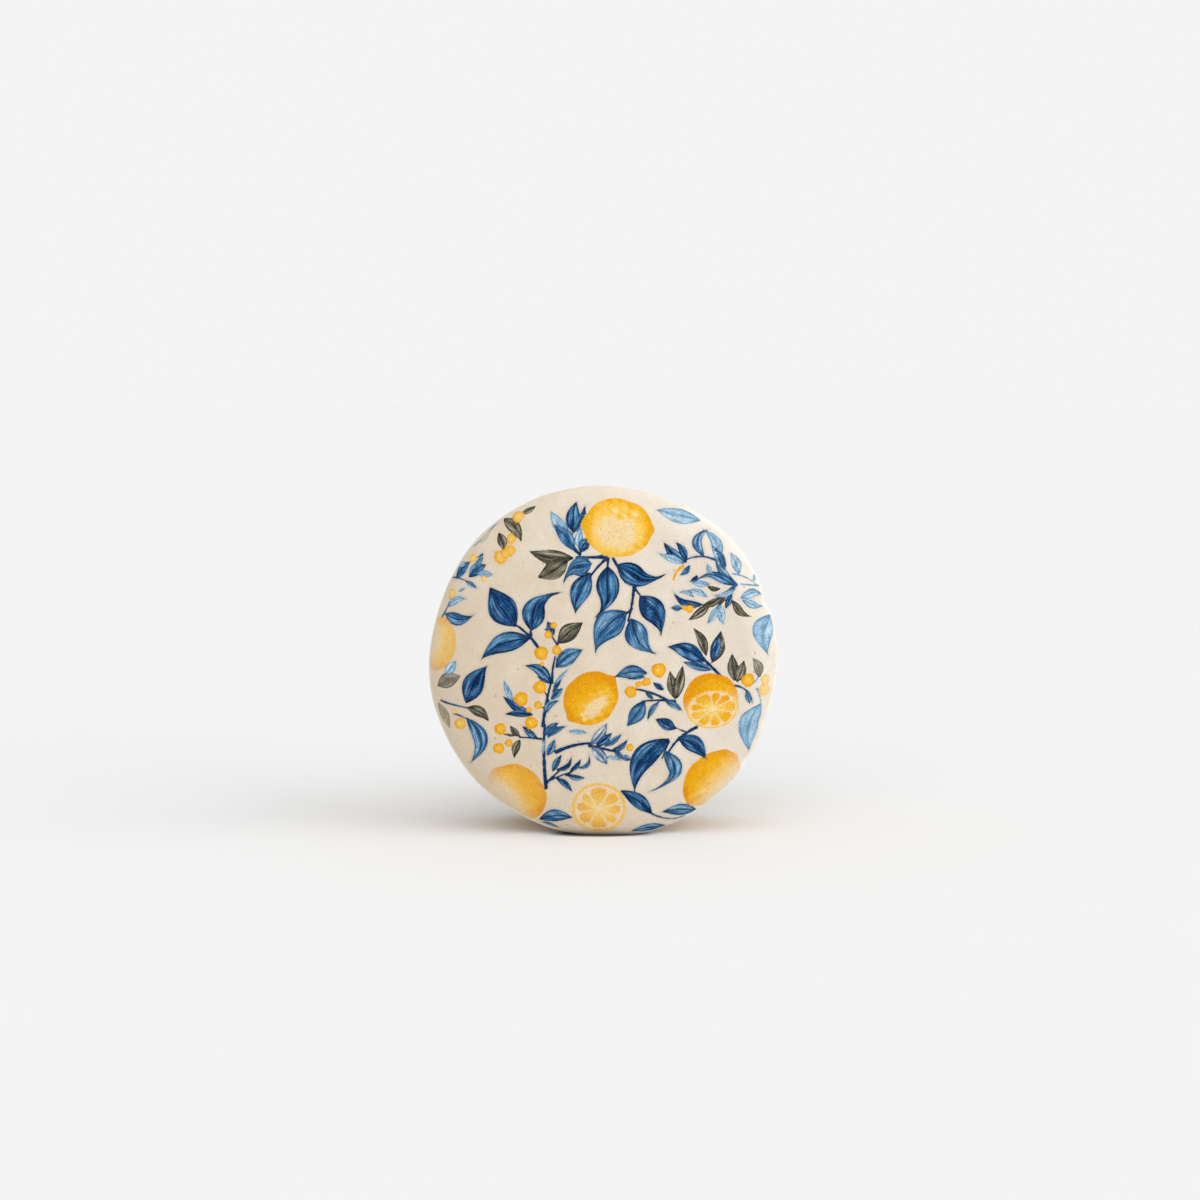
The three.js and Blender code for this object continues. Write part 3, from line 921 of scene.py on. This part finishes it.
def makeFilling():
    # a disc with its rim beveled round, then pushed in and out by soft smears and air bubbles
    clearSelection()
    radius = shellForm["frontRadius"] - fillingForm["inset"]
    thick = fillingHigh[1] - fillingLow[1]
    centre = shellForm["frontRadius"] - shellForm["restDepth"]
    bpy.ops.mesh.primitive_cylinder_add(
        vertices=fillingForm["steps"], radius=radius * mm, depth=thick * mm, end_fill_type="NGON",
        rotation=(math.pi / 2, 0, 0), location=(shellForm["sideShift"] * mm, 0, centre * mm),
    )
    filling = namePiece("filling_cream")
    bpy.ops.object.transform_apply(location=True, rotation=True, scale=True)
    bpy.ops.object.mode_set(mode="EDIT")
    bpy.ops.mesh.select_mode(type="FACE")
    bpy.ops.mesh.select_all(action="DESELECT")
    mesh = bmesh.from_edit_mesh(filling.data)
    for face in mesh.faces:
        face.select = abs(face.normal.y) > 0.9
    bmesh.update_edit_mesh(filling.data)
    bpy.ops.mesh.region_to_loop()
    bpy.ops.mesh.bevel(offset=fillingForm["edgeRound"] * mm, segments=7, profile=0.62, affect="EDGES")
    bpy.ops.mesh.select_mode(type="EDGE")
    pickWallEdges(filling, (thick / 2 - fillingForm["edgeRound"]) * mm)
    bpy.ops.mesh.subdivide(number_cuts=fillingForm["rings"])
    bpy.ops.object.mode_set(mode="OBJECT")

    points = readPoints(filling)
    x, z = points[:, 0] - shellForm["sideShift"], points[:, 2] - centre
    angle, out = np.arctan2(z, x), np.hypot(x, z)
    level = points[:, 1] / (thick / 2)
    atEdge = smoothStep(out / radius, 0.9, 0.99)
    push = fillingForm["waveDepth"] * ringWaves(fillingForm["waves"], 71)(angle)
    push += fillingForm["bulge"] * (np.sqrt(np.clip(1 - level ** 2, 0, 1)) - 1)
    rim = np.stack([np.cos(angle) * 20, np.sin(angle) * 20, points[:, 1] * 1.6], 1)
    smear = [noise.noise(Vector(p)) for p in rim / fillingForm["smearSize"]]
    push += fillingForm["smearDepth"] * np.array(smear)
    rng = np.random.default_rng(5)
    reach = fillingForm["bubbleReach"]
    for _ in range(fillingForm["bubbles"]):
        turn, rise = rng.uniform(-math.pi, math.pi), rng.uniform(-reach, reach)
        size = rng.uniform(*fillingForm["bubbleSize"])
        gap = (angle - turn + math.pi) % (2 * math.pi) - math.pi
        around = gap * fillingForm["bubbleRadius"]
        away = (around / size) ** 2 + ((points[:, 1] - rise) / size) ** 2
        push -= fillingForm["bubbleDepth"] * size * np.exp(-away)
    scale = 1 + atEdge * push / np.maximum(out, 1)
    points[:, 0] = shellForm["sideShift"] + x * scale
    points[:, 2] = centre + z * scale
    writePoints(filling, points)
    pickOnly(filling)
    bpy.ops.object.shade_smooth_by_angle(angle=math.radians(60))
    return filling


def pickWallEdges(piece, least):
    # selects the edges that cross the side wall, which are longer than any other along its axis
    mesh = bmesh.from_edit_mesh(piece.data)
    for part in (*mesh.faces, *mesh.edges, *mesh.verts):
        part.select = False
    for edge in mesh.edges:
        low, high = sorted(v.co.y for v in edge.verts)
        edge.select = high - low > least
    mesh.select_flush_mode()
    bmesh.update_edit_mesh(piece.data)


fillingCream = makeFilling()
print("filling made")


# Materials

def newMaterial(name):
    material = bpy.data.materials.new(name)
    material.use_nodes = True
    return material, material.node_tree


def addNode(tree, kind, inputs=None, **settings):
    node = tree.nodes.new(kind)
    for key, value in settings.items():
        setattr(node, key, value)
    for key, value in (inputs or {}).items():
        if isinstance(value, bpy.types.NodeSocket):
            tree.links.new(value, node.inputs[key])
        else:
            node.inputs[key].default_value = value
    return node


def addMath(tree, operation, first, second=0.0, third=0.0):
    return addNode(tree, "ShaderNodeMath", {0: first, 1: second, 2: third}, operation=operation).outputs[0]


def addVector(tree, operation, first, second=(0, 0, 0)):
    # scaling takes its factor in a socket of its own
    inputs = {0: first, "Scale" if operation == "SCALE" else 1: second}
    node = addNode(tree, "ShaderNodeVectorMath", inputs, operation=operation)
    return node.outputs["Value" if operation in ("DOT_PRODUCT", "DISTANCE", "LENGTH") else "Vector"]


def addRange(tree, value, low, high, toLow=0.0, toHigh=1.0, kind="SMOOTHSTEP"):
    inputs = {"Value": value, "From Min": low, "From Max": high, "To Min": toLow, "To Max": toHigh}
    return addNode(tree, "ShaderNodeMapRange", inputs, interpolation_type=kind).outputs["Result"]


def addMix(tree, factor, first, second):
    # 6 and 7 are the two colours among the sockets of a mix
    return addNode(tree, "ShaderNodeMix", {0: factor, 6: first, 7: second}, data_type="RGBA").outputs[2]


def addNoise(tree, where, scale, detail, roughness=0.5):
    inputs = {"Vector": where, "Scale": scale, "Detail": detail, "Roughness": roughness}
    return addNode(tree, "ShaderNodeTexNoise", inputs).outputs[0]


def addStored(tree, name):
    return addNode(tree, "ShaderNodeAttribute", attribute_name=name).outputs


def splitVector(tree, vector):
    return addNode(tree, "ShaderNodeSeparateXYZ", {"Vector": vector}).outputs


def layOut(tree):
    # puts each node in a column to the left of what it feeds
    column = {node.name: 0 for node in tree.nodes}
    for _ in tree.nodes:
        for link in tree.links:
            source, target = link.from_node.name, link.to_node.name
            column[source] = max(column[source], column[target] + 1)
    filled = [0] * (len(tree.nodes) + 1)
    for node in tree.nodes:
        place = column[node.name]
        node.location = (-240 * place, -220 * filled[place])
        filled[place] += 1


def finishMaterial(tree, colour, roughness, height, look):
    strength, depth = look["relief"]
    bump = addNode(tree, "ShaderNodeBump",
                   {"Height": height, "Strength": strength, "Distance": depth * mm})
    shader = tree.nodes["Principled BSDF"]
    for name, socket in (("Base Color", colour), ("Roughness", roughness), ("Normal", bump.outputs[0])):
        tree.links.new(socket, shader.inputs[name])
    for name, value in look["shader"].items():
        shader.inputs[name].default_value = value
    layOut(tree)


def shadeOf(colour):
    return (*linearColour(colour), 1)


def makeCrumbGroup():
    # Almond crumb, shared by shell and foot: slow mottling, fine grain, sparse specks and a height
    group = bpy.data.node_groups.new("almondCrumb", "ShaderNodeTree")
    face = group.interface
    face.new_socket("Vector", in_out="INPUT", socket_type="NodeSocketVector")
    # sizes in mm, and the share of cells that hold a speck
    inputs = {"Mottle Size": 3.5, "Grain Size": 0.15, "Speck Size": 1.5, "Speck Share": 0.7}
    for name, value in inputs.items():
        face.new_socket(name, in_out="INPUT", socket_type="NodeSocketFloat").default_value = value
    for name in ("Mottle", "Grain", "Specks", "Height"):
        face.new_socket(name, in_out="OUTPUT", socket_type="NodeSocketFloat")
    inside = addNode(group, "NodeGroupInput").outputs
    where = inside["Vector"]
    perMottle, perGrain, perSpeck = (
        addMath(group, "DIVIDE", 1000.0, inside[name + " Size"]) for name in ("Mottle", "Grain", "Speck"))
    mottle = addNoise(group, where, perMottle, 4.0, 0.6)
    grain = addNoise(group, where, perGrain, 2.0, 0.7)
    cells = addNode(group, "ShaderNodeTexVoronoi", {"Vector": where, "Scale": perSpeck}).outputs
    chosen = addNode(group, "ShaderNodeSeparateColor", {"Color": cells["Color"]}).outputs
    size = addRange(group, chosen[0], 0.0, 1.0, 0.04, 0.15, "LINEAR")
    warped = addMath(group, "MULTIPLY_ADD", grain, 0.06, cells["Distance"])
    spot = addMath(group, "LESS_THAN", warped, size)
    picked = addMath(group, "LESS_THAN", chosen[1], inside["Speck Share"])
    specks = addMath(group, "MULTIPLY", spot, picked)
    pores = addNode(group, "ShaderNodeTexVoronoi", {"Vector": where, "Scale": perGrain},
                    feature="SMOOTH_F1")
    bumps = addMath(group, "MULTIPLY_ADD", pores.outputs["Distance"], 0.6, grain)
    addNode(group, "NodeGroupOutput",
            {"Mottle": mottle, "Grain": grain, "Specks": specks, "Height": bumps})
    layOut(group)
    return group


crumbGroup = makeCrumbGroup()


def useCrumb(tree, where, **values):
    return addNode(tree, "ShaderNodeGroup", {"Vector": where, **values}, node_tree=crumbGroup).outputs


shellLook = {
    "paper": (232, 224, 212),
    # the paper's warm mottled tone, which also serves as its painted shade on the lower left
    "paperWarmAndShaded": (216, 199, 175),
    "paintedWarmShadeAway": (-26, 0, -8),  # per metre, towards the lower left, where painted shade makes the paper warmer and darker
    "mottleShare": 1.5,
    # colour of the painted shade on the right side of the paper
    "paintedShadeColour": (217, 204, 188),
    "paintedShadeAway": (44, 0, 18),   # per metre, towards the side that gets the painted shade
    "paintedShadeReach": (0.018, 0.0208),    # metres from the middle over which that painted shade ends
    # the bare rim: its pale colour with a painted highlight on the right and low down, its baked colour
    # with painted shade at the top
    "rimPaleAndLit": (250, 246, 238),
    "rimBakedAndShaded": (229, 215, 193),
    "rimShadeLean": (-18, 0, 24),    # per metre, towards the top of the rim, which is warmer and darker: its baked colour with painted shade
    "under": (226, 198, 150),   # golden where the shell rolls under to its foot
    "speck": (166, 124, 78),
    "speckDepth": 0.42,
    "grain": 0.42,
    "inkGrain": 1.5,
    # gold dots: the grain where they start and where they are full, and which gold ink they are
    "goldDots": ((0.5, 0.34, 0), (0.54, 0.7, 2)),
    "dotDepth": 0.4,
    "edgeSoftness": 0.045,      # mm to each side over which an ink's edge fades
    "edgeWobble": 0.12,
    "washDepth": 0.3,
    "halo": 0.15,               # how much a blue ink stains the paper round it
    "paleGamma": 0.55,          # turns an ink into its pale stroke
    "deepShare": 0.3,           # and this into its dark one
    "markDepth": 0.75,          # how strongly lines and strokes cover the ink
    "strokes": (0.36, 4.2, 0),  # brush marks per mm along and across a leaf
    "ribWidth": 0.075,
    "roughness": (0.72, 0.84),
    "relief": (0.35, 0.04),     # how strong it looks, and its height in mm
    "shader": {"Specular IOR Level": 0.06},
}


def makeShellMaterial(name):
    look = shellLook
    material, tree = newMaterial(name)
    place = addNode(tree, "ShaderNodeTexCoord").outputs["Object"]
    crumb = useCrumb(tree, place)
    # the lower left is warmer and darker: painted shade, mixed with the shell's own mottled tone
    mottleAndShade = addVector(tree, "DOT_PRODUCT", place, look["paintedWarmShadeAway"])
    mottleAndShade = addMath(tree, "MULTIPLY_ADD", crumb["Mottle"], look["mottleShare"], mottleAndShade)
    warmShadePart = addRange(tree, mottleAndShade, -0.4, 1.2)
    paper = addMix(tree, warmShadePart, shadeOf(look["paper"]), shadeOf(look["paperWarmAndShaded"]))
    # painted shade on the right side, where the key light falls most, but not on its rim
    paintedShade = addRange(tree, addVector(tree, "DOT_PRODUCT", place, look["paintedShadeAway"]), 0.7, 1.3, 0.0, 0.9)
    centre = (0, 0, (shellForm["frontRadius"] - shellForm["restDepth"]) * mm)
    out = addVector(tree, "DISTANCE", addVector(tree, "MULTIPLY", place, (1, 0, 1)), centre)
    paintedShade = addMath(tree, "MULTIPLY", paintedShade, addRange(tree, out, *look["paintedShadeReach"], 1.0, 0.0))
    paper = addMix(tree, paintedShade, paper, shadeOf(look["paintedShadeColour"]))
    # the bare rim: near white on the right and low down, its pale colour with a painted highlight, and
    # warmer and darker at the top, its baked colour with painted shade
    rim = addStored(tree, "rimPart")["Fac"]
    lean = addRange(tree, addVector(tree, "DOT_PRODUCT", place, look["rimShadeLean"]), 0.55, 1.15)
    rimColour = addMix(tree, lean, shadeOf(look["rimPaleAndLit"]), shadeOf(look["rimBakedAndShaded"]))
    rimAmount = addMath(tree, "MULTIPLY", rim, addRange(tree, crumb["Mottle"], 0.35, 0.7, 1.0, 0.6))
    paper = addMix(tree, rimAmount, paper, rimColour)
    paper = addMix(tree, addStored(tree, "underPart")["Fac"], paper, shadeOf(look["under"]))
    speckPart = addMath(tree, "MULTIPLY", crumb["Specks"], look["speckDepth"])
    paper = addMix(tree, speckPart, paper, shadeOf(look["speck"]))

    ink = addStored(tree, "inkColour")
    inside, inLine, inLight = splitVector(tree, addStored(tree, "inkEdges")["Vector"])
    wobble = addNoise(tree, place, 3800.0, 3.0, 0.65)
    shift = addMath(tree, "MULTIPLY_ADD", wobble, look["edgeWobble"], -look["edgeWobble"] / 2)

    def crisp(socket):
        moved = addMath(tree, "ADD", socket, shift)
        return addRange(tree, moved, -look["edgeSoftness"], look["edgeSoftness"])

    def marked(socket):
        return addMath(tree, "MULTIPLY", socket, look["markDepth"])

    # the wash of the ink: pools, and a darker edge where it dried
    wash = addNoise(tree, place, 1300.0, 5.0, 0.75)
    pool = addRange(tree, wash, 0.25, 0.75, 1 - look["washDepth"], 1 + look["washDepth"], "LINEAR")
    dried = addRange(tree, inside, 0.0, 0.25, 0.84, 1.0)
    tone = addMath(tree, "MULTIPLY", pool, dried)
    # pools would turn the gold ink olive, so it keeps nearly its own tone
    tints = addNode(tree, "ShaderNodeSeparateColor", {"Color": ink["Color"]}).outputs
    bluer = addMath(tree, "SUBTRACT", tints[2], tints[0])
    goldPart = addRange(tree, addMath(tree, "MULTIPLY", bluer, -1.0), 0.25, 0.5)
    tone = addMix(tree, addMath(tree, "MULTIPLY", goldPart, 0.85), tone, (1, 1, 1, 1))
    toned = addVector(tree, "SCALE", ink["Color"], tone)
    deep = addVector(tree, "SCALE", ink["Color"], look["deepShare"])
    pale = addNode(tree, "ShaderNodeGamma", {"Color": ink["Color"], "Gamma": look["paleGamma"]}).outputs[0]

    # brush marks run along each leaf, some dark and some pale, beside a dark midrib
    brush = addStored(tree, "brushPlace")["Vector"]
    _, across, marks = splitVector(tree, brush)
    streak = addNoise(tree, addVector(tree, "MULTIPLY", brush, look["strokes"]), 1.0, 1.5)
    rib = crisp(addMath(tree, "SUBTRACT", look["ribWidth"], addMath(tree, "ABSOLUTE", across)))
    darkMark = addMath(tree, "MAXIMUM", rib, marked(addRange(tree, streak, 0.49, 0.4)))
    darkMark = addMath(tree, "MULTIPLY", darkMark, marks)
    paleMark = addMath(tree, "MULTIPLY", addRange(tree, streak, 0.54, 0.63), marks)
    brushed = addMix(tree, marked(paleMark), toned, pale)
    brushed = addMix(tree, marked(darkMark), brushed, deep)
    lined = addMix(tree, marked(crisp(inLine)), brushed, deep)
    # the walls of a slice show the paper
    glint = addMix(tree, 0.6, ink["Color"], shadeOf(look["paper"]))
    lighted = addMix(tree, marked(crisp(inLight)), lined, glint)

    # paper shows through where the grain is high, and the ink ends before the rim
    worn = addRange(tree, crumb["Grain"], 0.62, 0.78, 1.0, 0.65)
    kept = addMath(tree, "MULTIPLY", worn, ink["Alpha"])
    kept = addMath(tree, "MULTIPLY", kept, addRange(tree, rim, 0.45, 0.95, 1.0, 0.0))
    amount = addMath(tree, "MULTIPLY", crisp(inside), kept)
    halo = addMath(tree, "MULTIPLY", addRange(tree, inside, -0.4, 0.0, 0.0, look["halo"]), kept)
    halo = addMath(tree, "MULTIPLY", halo, addRange(tree, bluer, 0.0, 0.12))
    stained = addMix(tree, halo, paper, ink["Color"])
    printed = addMix(tree, amount, stained, lighted)
    # gold is stippled with deeper and paler gold, the other inks with light and dark grain
    golden = addMath(tree, "MULTIPLY", goldPart, amount)
    for start, end, shade in look["goldDots"]:
        dots = addRange(tree, crumb["Grain"], start, end, 0.0, look["dotDepth"])
        dots = addMath(tree, "MULTIPLY", dots, golden)
        printed = addMix(tree, dots, printed, shadeOf(inks["gold"][shade]))
    plain = addMath(tree, "SUBTRACT", amount, golden)
    inkGrain = addMath(tree, "MULTIPLY_ADD", plain, look["inkGrain"], look["grain"])
    centred = addMath(tree, "SUBTRACT", crumb["Grain"], 0.5)
    colour = addVector(tree, "SCALE", printed, addMath(tree, "MULTIPLY_ADD", centred, inkGrain, 1.0))
    rough = addRange(tree, crumb["Mottle"], 0.3, 0.7, *look["roughness"], "LINEAR")
    finishMaterial(tree, colour, rough, crumb["Height"], look)
    return material


# the foot's golden colours: lighter on the ridges as a painted highlight, darker in the hollows as painted
# shade
footLook = {
    "ridge": (243, 228, 197),
    "middle": (227, 195, 142),
    "hollow": (196, 150, 90),
    "crumb": {"Mottle Size": 1.6, "Grain Size": 0.12, "Speck Share": 0.7},
    "roughness": (0.78, 0.94),
    "relief": (0.6, 0.06),
    "shader": {"Specular IOR Level": 0.3, "Subsurface Weight": 0.15,
               "Subsurface Radius": (1.0, 0.6, 0.3), "Subsurface Scale": 0.8 * mm},
}


def makeFootMaterial():
    look = footLook
    material, tree = newMaterial("bakedFoot")
    place = addNode(tree, "ShaderNodeTexCoord").outputs["Object"]
    crumb = useCrumb(tree, place, **look["crumb"])
    # painted highlight on the ridges and painted shade in the hollows of the relief, mottled with the
    # foot's own golden tone
    level = addMath(tree, "MULTIPLY_ADD", crumb["Mottle"], 0.7, addStored(tree, "reliefShading")["Fac"])
    low = addRange(tree, level, 0.45, 0.85)
    high = addRange(tree, level, 0.85, 1.25)
    colour = addMix(tree, low, shadeOf(look["hollow"]), shadeOf(look["middle"]))
    colour = addMix(tree, high, colour, shadeOf(look["ridge"]))
    grain = addRange(tree, crumb["Grain"], 0.2, 0.8, 0.86, 1.14, "LINEAR")
    rough = addRange(tree, crumb["Mottle"], 0.3, 0.7, *look["roughness"], "LINEAR")
    finishMaterial(tree, addVector(tree, "SCALE", colour, grain), rough, crumb["Height"], look)
    return material


fillingLook = {
    "colour": (224, 184, 112),
    "deep": (206, 158, 84),
    "roughness": (0.32, 0.54),
    "relief": (0.3, 0.05),
    "shader": {"Subsurface Weight": 0.3, "Subsurface Radius": (1.0, 0.6, 0.25),
               "Subsurface Scale": 1.2 * mm},
}


def makeFillingMaterial():
    look = fillingLook
    material, tree = newMaterial("lemonCream")
    place = addNode(tree, "ShaderNodeTexCoord").outputs["Object"]
    slow = addNoise(tree, place, 420.0, 4.0, 0.6)
    fine = addNoise(tree, place, 3200.0, 3.0, 0.6)
    part = addRange(tree, slow, 0.35, 0.68)
    colour = addMix(tree, part, shadeOf(look["colour"]), shadeOf(look["deep"]))
    tone = addRange(tree, fine, 0.2, 0.8, 0.93, 1.07, "LINEAR")
    rough = addRange(tree, slow, 0.3, 0.7, *look["roughness"])
    finishMaterial(tree, addVector(tree, "SCALE", colour, tone), rough, fine, look)
    return material


def dress(piece, material, node):
    piece.data.materials.clear()
    piece.data.materials.append(material)
    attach(piece, "root")
    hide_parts(node)


printedShell = makeShellMaterial("printedShell")
bakedFoot = makeFootMaterial()
dress(frontDome, printedShell, "front_shell")
dress(backDome, printedShell, "back_shell")
dress(frontFoot, bakedFoot, "front_shell")
dress(backFoot, bakedFoot, "back_shell")
dress(fillingCream, makeFillingMaterial(), "filling")
print("materials set")


# Studio: a wide pale floor with painted contact shadows under the shells, a bright room, a large soft
# light from the right and a weaker one in front

studio = {
    "floor": (240, 240, 240),
    "floorRadius": 8,           # metres
    "paintedContactShadows": ((-6.4, 8.0, 2.7), (5.8, 6.8, 1.8)),    # how far back, half width and half depth of each
    "contactSide": -0.5,        # how far they lie to the right
    "contactShade": 0.12,       # the share of its own tone that the floor keeps in their middle
    "backdrop": 0.905,          # what the camera sees past the floor
    "horizon": 0.25,            # how bright the room is low down and overhead
    "overhead": 0.95,
    "frontward": 0.1,           # how much brighter it is on the viewer's side
    "suns": {                   # power, degrees that it seems wide, where it comes from
        "keyLight": (1.3, 56, (0.84, -0.34, 0.42)),
        "fillLight": (0.7, 60, (-0.1, -0.75, 0.65)),
    },
}


def makeStage():
    # a wide round floor, which meets the room's light at the horizon
    clearSelection()
    bpy.ops.mesh.primitive_circle_add(vertices=96, radius=studio["floorRadius"], fill_type="NGON")
    stage = namePiece("studio_floor")
    bpy.ops.object.mode_set(mode="EDIT")
    bpy.ops.mesh.select_all(action="SELECT")
    bpy.ops.mesh.inset(thickness=0.9 * studio["floorRadius"])
    bpy.ops.object.mode_set(mode="OBJECT")
    material, tree = newMaterial("paleFloor")
    place = addNode(tree, "ShaderNodeTexCoord").outputs["Object"]
    tone = addRange(tree, addNoise(tree, place, 60.0, 3.0), 0.2, 0.8, 0.995, 1.005, "LINEAR")
    # a painted shadow darkens the floor where the two shells touch it
    for y, wide, deep in studio["paintedContactShadows"]:
        spot = addVector(tree, "SUBTRACT", place, (studio["contactSide"] * mm, y * mm, 0))
        spot = addVector(tree, "MULTIPLY", spot, (1 / (wide * mm), 1 / (deep * mm), 0))
        shade = addRange(tree, addVector(tree, "LENGTH", spot), 0.5, 1.0, studio["contactShade"], 1.0)
        tone = addMath(tree, "MULTIPLY", tone, shade)
    shader = tree.nodes["Principled BSDF"]
    colour = addVector(tree, "SCALE", shadeOf(studio["floor"])[:3], tone)
    tree.links.new(colour, shader.inputs["Base Color"])
    shader.inputs["Roughness"].default_value = 1.0
    shader.inputs["Specular IOR Level"].default_value = 0.0
    layOut(tree)
    stage.data.materials.append(material)


def makeSuns():
    for name, (power, softness, place) in studio["suns"].items():
        bpy.ops.object.light_add(type="SUN", location=place)
        sun = bpy.context.object
        sun.name = name
        sun.data.energy = power
        sun.data.angle = math.radians(softness)
        sun.rotation_euler = Vector(place).to_track_quat("Z", "Y").to_euler()


def makeRoom():
    # brighter overhead than at the horizon, in front of an even backdrop
    world = bpy.data.worlds.new("brightRoom")
    world.use_nodes = True
    tree = world.node_tree
    sky = tree.nodes["Background"]
    way = addNode(tree, "ShaderNodeTexCoord").outputs["Generated"]
    _, back, up = splitVector(tree, way)
    glow = addRange(tree, up, 0.0, 1.0, studio["horizon"], studio["overhead"], "LINEAR")
    glow = addMath(tree, "MULTIPLY_ADD", back, -studio["frontward"], glow)
    seen = addNode(tree, "ShaderNodeLightPath").outputs["Is Camera Ray"]
    strength = addRange(tree, seen, 0.0, 1.0, glow, studio["backdrop"], "LINEAR")
    tree.links.new(strength, sky.inputs["Strength"])
    sky.inputs["Color"].default_value = (1, 1, 1, 1)
    layOut(tree)
    bpy.context.scene.world = world


makeStage()
makeSuns()
makeRoom()
bpy.context.scene.view_settings.view_transform = "Standard"
print("studio lit")
